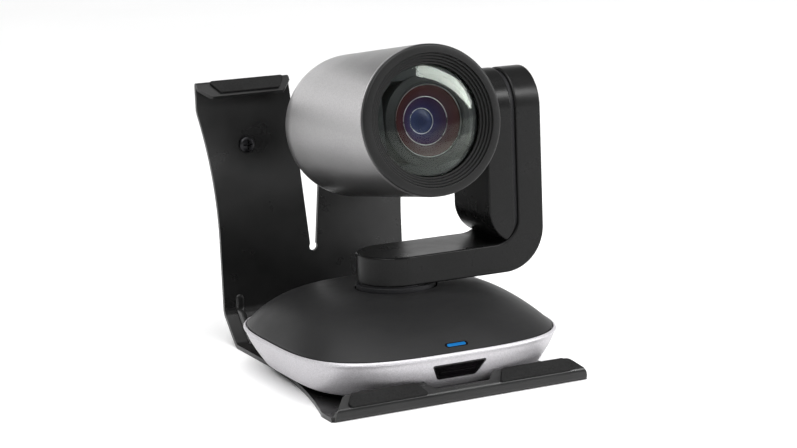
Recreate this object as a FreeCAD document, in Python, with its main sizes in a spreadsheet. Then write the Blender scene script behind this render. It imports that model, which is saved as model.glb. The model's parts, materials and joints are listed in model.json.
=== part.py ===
"""Motorised pan-tilt-zoom conference camera on its bent sheet-steel mount.

Frame: millimetres, +Z up. The origin is on the pan axis at the underside of the mount. The lens looks
towards -Y, +X is the side of the tilt arm, and the mount's back plate stands at +Y.
"""
import FreeCAD
import Part
import math
import os
import re
import Sketcher
from FreeCAD import Placement, Rotation, Vector

doc = FreeCAD.newDocument("ptz_camera")

# ---------------------------------------------------------------- driving dimensions
SIZES = [
    ("sheet_thick", 2.0, "mount: steel sheet thickness"),
    ("lip_half", 62.6, "mount: half width at the front lip"),
    ("waist_half", 48.9, "mount: half width at the facet and the foot of the back plate"),
    ("ear_half", 57.2, "mount: half width at the top of the ears"),
    ("waist_front", 44.0, "mount: where the straight waist of the bottom plate ends"),
    ("lip_side", -53.0, "mount: where the sides of the lip become straight"),
    ("side_radius", 345.0, "mount: radius of the concave sides of the bottom plate"),
    ("ear_radius", 250.0, "mount: radius of the concave sides of the back plate"),
    ("ear_side", 115.0, "mount: height where the ears become straight"),
    ("waist_top", 53.0, "mount: height where the straight waist of the back plate ends"),
    ("lip_front", -65.0, "mount: lower front edge"),
    ("lip_lean", 1.3, "mount: how far the front wall leans out"),
    ("lip_wall", 5.2, "mount: height of the front wall"),
    ("tab_length", 8.0, "mount: length of the folded tab along its slope"),
    ("tab_slope", 38.4, "mount: slope of the folded tab in degrees"),
    ("tab_half", 55.2, "mount: half width of the lip at its upper edge"),
    ("notch_half", 13.0, "mount: half width of the lip's middle notch"),
    ("plate_front", 93.75, "mount: front face of the back plate"),
    ("facet_rise", 15.5, "mount: height of the sloping facet on its front side"),
    ("flange_drop", 38.0, "mount: slope of the folded ears in degrees"),
    ("flange_top", 130.0, "mount: height of the upper bend"),
    ("flange_front", 86.7, "mount: front edge of the folded ears"),
    ("flange_cut", 6.0, "mount: chamfer at the ends of the folded ears"),
    ("slot_foot", 42.6, "mount: height of the round hole at the slot's foot"),
    ("slot_hole", 2.2, "mount: radius of the hole at the slot's foot"),
    ("slot_low", 1.6, "mount: half width of the slot at its foot"),
    ("slot_high", 9.6, "mount: half width of the slot at the top"),
    ("screw_across", 32.9, "mount: wall screws, distance from the middle"),
    ("screw_height", 97.3, "mount: wall screws, height"),
    ("screw_head", 4.1, "wall screw: head radius"),
    ("screw_shank", 2.0, "wall screw: shank radius"),
    ("screw_length", 14.0, "wall screw: shank length"),
    ("rib_across", 40.8, "mount: stiffening ribs, distance from the middle"),
    ("rib_half", 2.2, "mount: half width of a stiffening rib"),
    ("rib_top", 23.5, "mount: top of the stiffening ribs"),
    ("rib_proud", 1.0, "mount: height of a stiffening rib over the sheet"),
    ("pad_thick", 1.2, "rubber pads: thickness"),
    ("base_half", 64.3, "base: half width at the rim"),
    ("rim_height", 22.0, "base: height of the rim"),
    ("base_bottom", 4.5, "base: underside"),
    ("shell_wall", 2.2, "base: wall thickness"),
    ("post_across", 38.0, "base: screw posts, distance from the middle both ways"),
    ("dome_rise", 17.9, "base: rise of the top cover above the rim"),
    ("hub_radius", 18.3, "pan hub: radius of the collar"),
    ("hub_top", 42.2, "pan hub: top of the collar"),
    ("arm_bottom", 42.5, "arm: underside"),
    ("arm_step", 56.0, "arm: upper face of the horizontal limb"),
    ("arm_depth", 17.8, "arm: half depth"),
    ("arm_side", 68.5, "arm: outer face"),
    ("arm_corner", 20.0, "arm: radius of the outer corner"),
    ("arm_seam", 55.4, "arm: inner face of the upright limb"),
    ("arm_crown", 118.2, "arm: centre height of the rounded top"),
    ("pod_side", 40.6, "tilt drive housing: inner face"),
    ("pod_seam", 53.4, "tilt drive housing: outer face"),
    ("pod_corner", 10.0, "tilt drive housing: lower inner corner radius"),
    ("tilt_height", 114.7, "head: height of the tilt axis"),
    ("head_radius", 33.3, "head: radius"),
    ("head_front", 45.2, "head: from the tilt axis to the bezel's face"),
    ("shell_front", 42.2, "head: from the tilt axis to the front of the silver shell"),
    ("head_straight", 37.0, "head: straight length behind the tilt axis"),
    ("head_rear", 23.0, "head: length of the rounded rear"),
    ("head_flat", 15.0, "head: radius of the flat rear face"),
    ("bezel_bore", 24.7, "bezel: radius of the opening"),
    ("head_tilt", 7.85, "head: upward tilt at rest in degrees"),
    ("shaft_radius", 4.0, "tilt shaft: radius"),
    ("pan_centre", 22.0, "pan drive: distance from the pan axis to the motor shaft"),
    ("tilt_centre", 18.0, "tilt drive: distance from the tilt axis to the motor shaft"),
]
sheet = doc.addObject("Spreadsheet::Sheet", "sizes")
for row, (name, amount, note) in enumerate(SIZES, 1):
    sheet.set(f"A{row}", note)
    sheet.set(f"B{row}", str(amount))
    sheet.setAlias(f"B{row}", name)
doc.recompute()
ALIASES = re.compile(r"\b(" + "|".join(name for name, _, _ in SIZES) + r")\b")
NODES = []


def full(expression):
    """The expression with every alias pointing at the sheet."""
    return ALIASES.sub(r"sizes.\1", str(expression))


def size(expression):
    """The present value of an expression in the sheet's words."""
    return float(sheet.evalExpression(full(expression)))


def bind(thing, **expressions):
    """Ties properties to the sheet; x, y and z are the placement's position."""
    for prop, expression in expressions.items():
        path = f"Placement.Base.{prop}" if prop in ("x", "y", "z") else prop
        thing.setExpression(path, full(expression))
    return thing


def node(thing, label):
    """Marks a finished sub-part."""
    thing.Label = label
    NODES.append(thing)
    return thing


# ---------------------------------------------------------------- building blocks
def cylinder(name, radius, height, x=0, y=0, z=0, axis="Z"):
    part = doc.addObject("Part::Cylinder", name)
    turns = {"Z": Rotation(), "X": Rotation(Vector(0, 1, 0), 90), "Y": Rotation(Vector(1, 0, 0), -90)}
    part.Placement = Placement(Vector(), turns[axis])
    return bind(part, Radius=radius, Height=height, x=x, y=y, z=z)


def block(name, length, width, height, x, y, z):
    """A box given by its sides and its lowest corner."""
    part = doc.addObject("Part::Box", name)
    return bind(part, Length=length, Width=width, Height=height, x=x, y=y, z=z)


def cut(name, base, *tools):
    for number, tool in enumerate(tools):
        result = doc.addObject("Part::Cut", f"{name}_{number}")
        result.Base, result.Tool = base, tool
        base = result
    return base


def fuse(name, *parts):
    result = doc.addObject("Part::MultiFuse", name)
    result.Shapes = list(parts)
    return result


def common(name, *parts):
    result = doc.addObject("Part::MultiCommon", name)
    result.Shapes = list(parts)
    return result


def tube(name, outer, inner, height, x=0, y=0, z=0, axis="Z"):
    shift = {"Z": (0, 0, -1), "X": (-1, 0, 0), "Y": (0, -1, 0)}[axis]
    inside = [f"{p} + ({s})" for p, s in zip((x, y, z), shift)]
    return cut(name, cylinder(name + "_out", outer, height, x, y, z, axis),
               cylinder(name + "_in", inner, f"{height} + 2", *inside, axis))


def body(name):
    return doc.addObject("PartDesign::Body", name)


def sketch(owner, name, plane, offset=0):
    """An empty sketch on one of the body's own origin planes."""
    drawing = owner.newObject("Sketcher::SketchObject", name)
    face = next(f for f in owner.Origin.OriginFeatures if f.Role == plane)
    drawing.AttachmentSupport = (face, [""])
    drawing.MapMode = "FlatFace"
    drawing.setExpression("AttachmentOffset.Base.z", full(offset))
    return drawing


def arc_edge(start, end, radius, turn):
    """Arc from start to end; turn is +1 for a left-hand bend. Returns it with its first and last ends."""
    chord = end - start
    half = chord.Length / 2
    normal = Vector(-chord.y, chord.x, 0) / chord.Length
    centre = (start + end) / 2 + normal * turn * math.sqrt(radius ** 2 - half ** 2)
    first, last = (start, end) if turn > 0 else (end, start)
    low = math.atan2(first.y - centre.y, first.x - centre.x)
    high = math.atan2(last.y - centre.y, last.x - centre.x)
    if high < low:
        high += 2 * math.pi
    arc = Part.ArcOfCircle(Part.Circle(centre, Vector(0, 0, 1), radius), low, high)
    return (arc, 1, 2) if turn > 0 else (arc, 2, 1)


def outline(drawing, corners):
    """Closed outline. A corner is (x, y) or (x, y, radius, turn) where an arc leads on to the next."""
    points = [Vector(size(c[0]), size(c[1]), 0) for c in corners]
    edges = []
    for number, corner in enumerate(corners):
        start, end = points[number], points[(number + 1) % len(points)]
        if len(corner) == 4:
            arc, first, last = arc_edge(start, end, size(corner[2]), corner[3])
            edges.append((drawing.addGeometry(arc), first, last))
        else:
            edges.append((drawing.addGeometry(Part.LineSegment(start, end)), 1, 2))
    for number, corner in enumerate(corners):
        edge, first, last = edges[number]
        follower, follower_first, _ = edges[(number + 1) % len(edges)]
        drawing.addConstraint(Sketcher.Constraint("Coincident", edge, last, follower, follower_first))
        for kind, axis, expression, amount in (("DistanceX", -2, corner[0], points[number].x),
                                               ("DistanceY", -1, corner[1], points[number].y)):
            if abs(amount) < 1e-9:
                drawing.addConstraint(Sketcher.Constraint("PointOnObject", edge, first, axis))
                continue
            index = drawing.addConstraint(Sketcher.Constraint(kind, -1, 1, edge, first, amount))
            drawing.setExpression(f"Constraints[{index}]", full(expression))
        if len(corner) == 4:
            index = drawing.addConstraint(Sketcher.Constraint("Radius", edge, size(corner[2])))
            drawing.setExpression(f"Constraints[{index}]", full(corner[2]))


def pad(owner, drawing, length, symmetric=False):
    feature = owner.newObject("PartDesign::Pad", drawing.Name + "_pad")
    feature.Profile = drawing
    feature.SideType = "Symmetric" if symmetric else "One side"
    bind(feature, Length=length)
    doc.recompute()
    return feature


def padded(name, plane, corners, length, offset=0, symmetric=False):
    """A body made by padding one closed outline."""
    owner = body(name)
    drawing = sketch(owner, name + "_sketch", plane, offset)
    outline(drawing, corners)
    pad(owner, drawing, length, symmetric)
    return owner


def turned(name, corners, axis="H_Axis"):
    """A body made by turning an outline of (y, radius) corners about the Y axis."""
    owner = body(name)
    drawing = sketch(owner, name + "_sketch", "YZ_Plane")
    outline(drawing, corners)
    feature = owner.newObject("PartDesign::Revolution", name + "_turn")
    feature.Profile = drawing
    feature.ReferenceAxis = (drawing, [axis])
    feature.Angle = 360
    doc.recompute()
    return owner


def spur_gear(teeth, module, thick, bore):
    """A spur gear about Z with straight-flanked teeth; one tooth points along +X."""
    pitch = teeth * module / 2
    tip, root = pitch + 0.85 * module, pitch - 1.15 * module
    step = 2 * math.pi / teeth
    corners = []
    for tooth in range(teeth):
        middle = tooth * step
        for radius, share in ((root, -0.30), (tip, -0.12), (tip, 0.12), (root, 0.30)):
            angle = middle + share * step
            corners.append(Vector(radius * math.cos(angle), radius * math.sin(angle), 0))
    wire = Part.makePolygon(corners + corners[:1])
    solid = Part.Face(wire).extrude(Vector(0, 0, thick))
    return solid.cut(Part.makeCylinder(bore, thick + 2, Vector(0, 0, -1)))


def feature(name, shape, position=Vector(), rotation=Rotation()):
    """A sub-part whose shape comes from a formula."""
    part = doc.addObject("Part::Feature", name)
    part.Shape = shape
    part.Placement = Placement(position, rotation)
    return part


# ---------------------------------------------------------------- the sheet-steel mount
def mount_profile():
    """Corners of the folded sheet's side view as (y, z): outside first, then back along the inside."""
    tab_y = "lip_front - lip_lean + tab_length * cos(tab_slope)"
    tab_z = "lip_wall + tab_length * sin(tab_slope)"
    rear = "plate_front + sheet_thick"
    tip_z = f"flange_top - tan(flange_drop) * ({rear} - flange_front)"
    return [
        (tab_y, tab_z),
        ("lip_front - lip_lean", "lip_wall"),
        ("lip_front", 0),
        (f"{rear} - facet_rise + sheet_thick * tan(22.5)", 0),
        (rear, "facet_rise - sheet_thick * tan(22.5)"),
        (rear, "flange_top"),
        ("flange_front", tip_z),
        ("flange_front + sheet_thick * sin(flange_drop)", f"{tip_z} - sheet_thick * cos(flange_drop)"),
        ("plate_front", "flange_top - tan(flange_drop) * sheet_thick - sheet_thick / cos(flange_drop)"),
        ("plate_front", "facet_rise"),
        ("plate_front - facet_rise + sheet_thick", "sheet_thick"),
        ("lip_front + sheet_thick * 0.8", "sheet_thick"),
        ("lip_front - lip_lean + sheet_thick * 1.1", "lip_wall - sheet_thick * 0.4"),
        (f"{tab_y} + sheet_thick * sin(tab_slope)", f"{tab_z} - sheet_thick * cos(tab_slope)"),
    ]


def bottom_outline():
    """Plan of the bottom plate and lip: concave sides between the lip and the waist."""
    return [
        ("lip_half", "lip_front - 8"), ("lip_half", "lip_side", "side_radius", 1),
        ("waist_half", "waist_front"), ("waist_half", "plate_front - 3"),
        ("-waist_half", "plate_front - 3"), ("-waist_half", "waist_front", "side_radius", 1),
        ("-lip_half", "lip_side"), ("-lip_half", "lip_front - 8"),
    ]


def back_outline():
    """Front view of the back plate: it widens upwards in concave curves."""
    return [
        ("waist_half", "facet_rise / 2"), ("waist_half", "waist_top", "ear_radius", 1),
        ("ear_half", "ear_side"), ("ear_half", "flange_top + 2"),
        ("-ear_half", "flange_top + 2"), ("-ear_half", "ear_side", "ear_radius", 1),
        ("-waist_half", "waist_top"), ("-waist_half", "facet_rise / 2"),
    ]


def mirrored_x(corners):
    return [(f"-({x})", y) for x, y in corners]


def build_mount():
    folded = padded("mount_fold", "YZ_Plane", mount_profile(), "2 * lip_half", 0, True)
    plan = padded("mount_plan", "XY_Plane", bottom_outline(), "facet_rise / 2 + 4", -1)
    # The XZ plane's normal points to -Y, so the offset is counted from there.
    back = padded("mount_back", "XZ_Plane", back_outline(), 18, "-plate_front - 4")
    sheet_metal = common("mount_sheet", folded, fuse("mount_trim", plan, back))
    boss = cylinder("mount_boss", 9.5, "base_bottom")
    ribs = []
    for side in (-1, 1):
        rib = padded(f"mount_rib_{side + 1}", "YZ_Plane", [
            ("plate_front", "rib_top"), ("plate_front - rib_proud", "rib_top - rib_proud"),
            ("plate_front - rib_proud", "facet_rise + 0.4"),
            ("plate_front - facet_rise + sheet_thick - 0.4", "sheet_thick + rib_proud"),
            ("plate_front - facet_rise - 8", "sheet_thick + rib_proud"),
            ("plate_front - facet_rise - 9", "sheet_thick"),
            ("plate_front - facet_rise + sheet_thick", "sheet_thick"), ("plate_front", "facet_rise"),
        ], "2 * rib_half", 0, True)
        ribs.append(bind(rib, x=f"{side} * rib_across"))
    whole = fuse("mount_whole", sheet_metal, boss, *ribs)
    tools = [
        cylinder("mount_recess", 7.6, "sheet_thick + 1", z=-1),
        cylinder("mount_screw_hole", 3.4, 10, z=-1),
        padded("mount_slot", "XZ_Plane", [
            ("slot_low", "slot_foot"), ("slot_high", "flange_top + 5"),
            ("-slot_high", "flange_top + 5"), ("-slot_low", "slot_foot")], 20, "-plate_front - 5"),
        cylinder("mount_slot_foot", "slot_hole", 6, y="plate_front - 2", z="slot_foot", axis="Y"),
        padded("mount_notch", "XY_Plane", [
            ("notch_half", "lip_front + 1.6"), ("notch_half + 4", "lip_front + 8"),
            ("-notch_half - 4", "lip_front + 8"), ("-notch_half", "lip_front + 1.6")],
            12, "sheet_thick + 0.1"),
    ]
    tab_end = [("lip_half - 0.6", "lip_front - 3"), ("lip_half + 1", "lip_front - 3"),
               ("lip_half + 1", "lip_front + 8"), ("tab_half - 1.5", "lip_front + 8"),
               ("lip_half - 0.6", "lip_front - 1.4")]
    ear_end = [("ear_half - 7.5", "flange_front - 1"), ("ear_half + 1", "flange_front - 1"),
               ("ear_half + 1", "plate_front - 0.1"), ("ear_half - 1.6", "plate_front - 0.1")]
    ear_inner = [("0", "flange_front - 1"), ("slot_high + 5.5", "flange_front - 1"),
                 ("slot_high - 0.5", "plate_front - 0.1"), ("0", "plate_front - 0.1")]
    for name, corners, height, offset in (("tab_end", tab_end, 12, "sheet_thick + 0.1"),
                                          ("ear_end", ear_end, 20, "flange_top - 15"),
                                          ("ear_inner", ear_inner, 20, "flange_top - 15")):
        for side, shape in ((0, corners), (2, mirrored_x(corners))):
            tools.append(padded(f"mount_{name}_{side}", "XY_Plane", shape, height, offset))
    for side in (-1, 1):
        tools.append(cylinder(f"mount_wall_hole_{side + 1}", "screw_shank + 0.8", 6,
                              f"{side} * screw_across", "plate_front - 2", "screw_height", "Y"))
    node(cut("bracket", whole, *tools), "bracket")


def build_mount_pads():
    """Rubber pads on the lip's tabs and on the folded ears, all sloping like the sheet under them."""
    for label, y, z, slope, corners in (
            ("lip_pads", "lip_front - lip_lean", "lip_wall", "tab_slope",
             [("notch_half + 3.4", 0.5), ("tab_half + 0.8", 0.5), ("tab_half - 3.6", "tab_length - 0.4"),
              ("notch_half + 6.2", "tab_length - 0.4")]),
            ("flange_pads", "flange_front",
             "flange_top - tan(flange_drop) * (plate_front + sheet_thick - flange_front)", "flange_drop",
             [("slot_high + 6.5", 1.6), ("ear_half - 9.5", 1.6), ("ear_half - 6.4", 8.6),
              ("slot_high + 2.6", 8.6)])):
        pads = []
        for side, shape in ((0, corners), (2, mirrored_x(corners))):
            rubber = padded(f"{label}_{side}", "XY_Plane", shape, "pad_thick")
            rubber.Placement = Placement(Vector(), Rotation(Vector(1, 0, 0), size(slope)))
            pads.append(bind(rubber, y=y, z=z))
        node(fuse(label, *pads), label)


def build_wall_screws():
    """Pan-head screws through both ears: a cross recess in each head, a plain shoulder in the sheet."""
    screws = []
    for side in (-1, 1):
        x, name = f"{side} * screw_across", f"wall_screw_{side + 1}"
        head = cylinder(name + "_head", "screw_head", 2.4, x, "plate_front - 2.4", "screw_height", "Y")
        shoulder = cylinder(name + "_shoulder", "screw_shank + 0.6", "sheet_thick + 1", x,
                            "plate_front - 1", "screw_height", "Y")
        shank = cylinder(name + "_shank", "screw_shank", "screw_length + 2", x, "plate_front - 1",
                         "screw_height", "Y")
        cross = [block(f"{name}_cross_{n}", w, 1.6, h, f"{x} - {w} / 2", "plate_front - 3",
                       f"screw_height - {h} / 2") for n, (w, h) in enumerate(((4.6, 1.0), (1.0, 4.6)))]
        screws.append(cut(name, fuse(name + "_solid", head, shoulder, shank), *cross))
    node(fuse("wall_screws", *screws), "wall_screws")


# ---------------------------------------------------------------- the base
RIM_POWER = 3.38      # exponent of the base's squarish outline
POINTS = 40           # points on each outline section
DOME_SIDE = 4.7       # how late the cover falls away towards the sides and the back
DOME_FRONT = 2.1      # how late it falls away towards the front
DOME_TOP = 0.32       # share of the half width where the dome is level


def section(half, height, power=RIM_POWER):
    """Closed superelliptic wire in a level plane."""
    points = []
    for number in range(POINTS):
        angle = 2 * math.pi * number / POINTS
        c, s = math.cos(angle), math.sin(angle)
        points.append(Vector(half * math.copysign(abs(c) ** (2 / power), c),
                             half * math.copysign(abs(s) ** (2 / power), s), height))
    curve = Part.BSplineCurve()
    curve.interpolate(points, PeriodicFlag=True)
    return Part.Wire([curve.toShape()])


def shell_half(height):
    """Half width of the silver shell at a height below the rim."""
    return size("base_half") * (1 - 0.1334 * ((size("rim_height") - height) / 17.5) ** 1.386)


def shell_solid(inset, low):
    top = size("rim_height") - 0.4
    levels = [low + (top - low) * step / 5 for step in range(6)]
    return Part.makeLoft([section(shell_half(z) - inset, z) for z in levels], True)


def dome_section(share, inset):
    """One closed wire of the dome: share runs from 0 on the pan axis to 1 at the rim."""
    half = (size("base_half") - 0.5) * share - inset
    power = 2 + (RIM_POWER - 2) * share ** 1.5
    points = []
    for number in range(POINTS):
        angle = 2 * math.pi * number / POINTS
        c, s = math.cos(angle), math.sin(angle)
        fall = DOME_SIDE + (DOME_FRONT - DOME_SIDE) * max(-s, 0)
        if share <= DOME_TOP:
            fall = DOME_SIDE
        height = size("rim_height") + size("dome_rise") * (1 - share ** fall) - inset
        points.append(Vector(half * math.copysign(abs(c) ** (2 / power), c),
                             half * math.copysign(abs(s) ** (2 / power), s), height))
    curve = Part.BSplineCurve()
    curve.interpolate(points, PeriodicFlag=True)
    return Part.Wire([curve.toShape()])


def dome_solid(inset):
    """The domed top: square-cornered at the rim, round at the hub, with a gentler slope in front."""
    return Part.makeLoft([dome_section(share, inset) for share in (1.0, 0.96, 0.9, 0.8, 0.66, 0.5, DOME_TOP)],
                         True)


def pill(half, radius, y):
    """A slot outline with round ends, centred on x = 0."""
    straight, bend = half - radius, radius + 0.01
    return [(-straight, y - radius), (straight, y - radius, bend, 1),
            (straight, y + radius), (-straight, y + radius, bend, 1)]


def build_base():
    rim, low, wall = size("rim_height"), size("base_bottom"), size("shell_wall")
    outer = feature("shell_outer", shell_solid(0, low))
    inner = feature("shell_inner", shell_solid(wall, low - 1.0))
    window = [(13.0, 16.6), (-13.0, 16.6), (-8.6, 10.2), (8.6, 10.2)]
    window_cut = padded("shell_window", "XZ_Plane", window, 20, "base_half - 16")
    panel_cut = block("shell_panel_cut", 48, 14, 10, -24, "base_half - 12", 8.5)
    node(cut("base_shell", outer, inner, window_cut, panel_cut), "base_shell")
    smoked = padded("smoked_prism", "XZ_Plane", [(0.98 * x, 13.4 + 0.96 * (z - 13.4)) for x, z in window],
                    20, "base_half - 16")
    pane = cut("smoked_pane", feature("pane_outer", shell_solid(0.5, low)),
               feature("pane_inner", shell_solid(wall + 0.4, low - 1.0)))
    node(common("smoked_window", smoked, pane), "ir_window")

    solid = feature("cover_outer", dome_solid(0))
    hollow = feature("cover_inner", dome_solid(wall))
    throat = cylinder("cover_throat", "hub_radius + 0.6", 40, z="rim_height")
    led_slot = padded("cover_led_slot", "XY_Plane", pill(5.6, 1.3, -57.6), 12, "rim_height - 1")
    corners = list(enumerate(((1, 1), (1, -1), (-1, 1), (-1, -1))))
    # The front posts are shorter because the cover slopes down to the front.
    posts = [cylinder(f"cover_post_{n}", 3.5, 25.9 + 1.4 * j, f"{i} * post_across", f"{j} * post_across",
                      "base_bottom + 2") for n, (i, j) in corners]
    bores = [cylinder(f"cover_bore_{n}", 1.45, 12, f"{i} * post_across", f"{j} * post_across",
                      "base_bottom + 1.5") for n, (i, j) in corners]
    skin = cut("cover_skin", solid, hollow, throat, led_slot)
    node(cut("cover_bored", fuse("cover_whole", skin, *posts), *bores), "top_cover")
    node(padded("led_pill", "XY_Plane", pill(5.5, 1.2, -57.6), 4, "rim_height - 0.4"), "led_bar")

    inner = section(shell_half(low) - wall - 0.6, low)
    plate = feature("plate_disc", Part.Face(inner).extrude(Vector(0, 0, 2)))
    holes = [cylinder("plate_insert_hole", 5.0, 4, z="base_bottom - 1")]
    screws, feet = [], []
    for n, (i, j) in corners:
        x, y = f"{i} * post_across", f"{j} * post_across"
        holes.append(cylinder(f"plate_hole_{n}", 2.8, 4, x, y, "base_bottom - 1"))
        screws.append(fuse(f"base_screw_{n}",
                           cylinder(f"base_screw_head_{n}", 2.6, 1.8, x, y, "base_bottom + 0.1"),
                           cylinder(f"base_screw_shank_{n}", 1.4, 9, x, y, "base_bottom + 1")))
        feet.append(cylinder(f"foot_{n}", 6, "base_bottom - sheet_thick", f"{i} * 26", f"{j} * 42",
                             "sheet_thick"))
    node(cut("base_plate", plate, *holes), "base_plate")
    node(fuse("base_screws", *screws), "base_screws")
    node(fuse("base_feet", *feet), "base_feet")
    node(tube("tripod_insert", 4.95, 3.2, 8, z="base_bottom"), "tripod_insert")
    node(fuse("tripod_screw", cylinder("tripod_head", 7.2, "sheet_thick - 0.2"),
              cylinder("tripod_shank", 3.15, 10, z=1)), "tripod_screw")


def build_sockets():
    """Rear panel with the power jack, the data socket and a lock slot."""
    plate = block("panel_plate", 47.6, 2, 9.6, -23.8, "base_half - 6.5", 8.7)
    jack_hole = cylinder("panel_jack_hole", 4.2, 4, -14, "base_half - 7.5", 13.4, "Y")
    data_hole = block("panel_data_hole", 14.4, 4, 7.2, -5.2, "base_half - 7.5", 9.8)
    lock_hole = block("panel_lock_hole", 7.2, 4, 3.2, 14.4, "base_half - 7.5", 11.8)
    node(cut("socket_panel", plate, jack_hole, data_hole, lock_hole), "socket_panel")
    node(cut("power_jack", cylinder("jack_body", 4.1, 12, -14, "base_half - 16.5", 13.4, "Y"),
             cylinder("jack_bore", 3.1, 10, -14, "base_half - 13.5", 13.4, "Y")), "power_jack")
    node(cut("data_socket", block("data_body", 14.2, 14, 7.0, -5.1, "base_half - 18.5", 9.9),
             block("data_mouth", 13.2, 12, 5.8, -4.6, "base_half - 15.5", 10.5)), "data_socket")


def build_drive_and_boards():
    deck = block("deck", 64, 54, 2, -32, -22, 13)
    pillar = cylinder("pillar", 14, 13, z="base_bottom + 2")
    bearing_seat = cylinder("bearing_seat", 11.5, 30, z="base_bottom + 8")
    core = cylinder("insert_room", 6, 30, z="base_bottom")
    legs = [cylinder(f"deck_leg_{n}", 2.5, "13.5 - base_bottom - 2", f"{i} * 28", f"5 + {j} * 22",
                     "base_bottom + 2") for n, (i, j) in enumerate(((1, 1), (1, -1), (-1, 1), (-1, -1)))]
    posts = [cylinder(f"motor_post_{n}", 2.2, 9.6, f"{i} * 15", "pan_centre", 15)
             for n, i in enumerate((-1, 1))]
    node(cut("chassis", fuse("chassis_solid", deck, pillar, *legs, *posts), bearing_seat, core), "chassis")
    node(tube("pan_bearing", 11.45, 9.06, 6.5, z="base_bottom + 8"), "pan_bearing")

    can = cylinder("pan_can", 10.8, 8.3, y="pan_centre", z=25.6)
    ears = block("pan_ears", 36, 6, 1, -18, "pan_centre - 3", 24.6)
    node(cut("pan_motor", fuse("pan_motor_solid", can, ears),
             cylinder("pan_motor_bore", 1.06, 7, y="pan_centre", z=24)), "pan_motor")
    pinion = spur_gear(15, 0.8, 4, 1.0).fuse(Part.makeCylinder(1.0, 11.5, Vector(0, 0, -1.5)))
    node(feature("pan_pinion", pinion, Vector(0, size("pan_centre"), 20), Rotation(Vector(0, 0, 1), -6)),
         "pan_pinion")

    board = block("board_plate", 48, 28, 1.6, -24, -51, 8)
    chips = [block(f"chip_{n}", a, b, 1.4, x, y, 9.6)
             for n, (a, b, x, y) in enumerate(((12, 12, -18, -44), (9, 9, 2, -42), (6, 10, 15, -38)))]
    node(fuse("main_board", board, *chips), "main_board")
    node(block("receiver_case", 8, 3, 7, -4, -53.5, 9.6), "ir_receiver")


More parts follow.
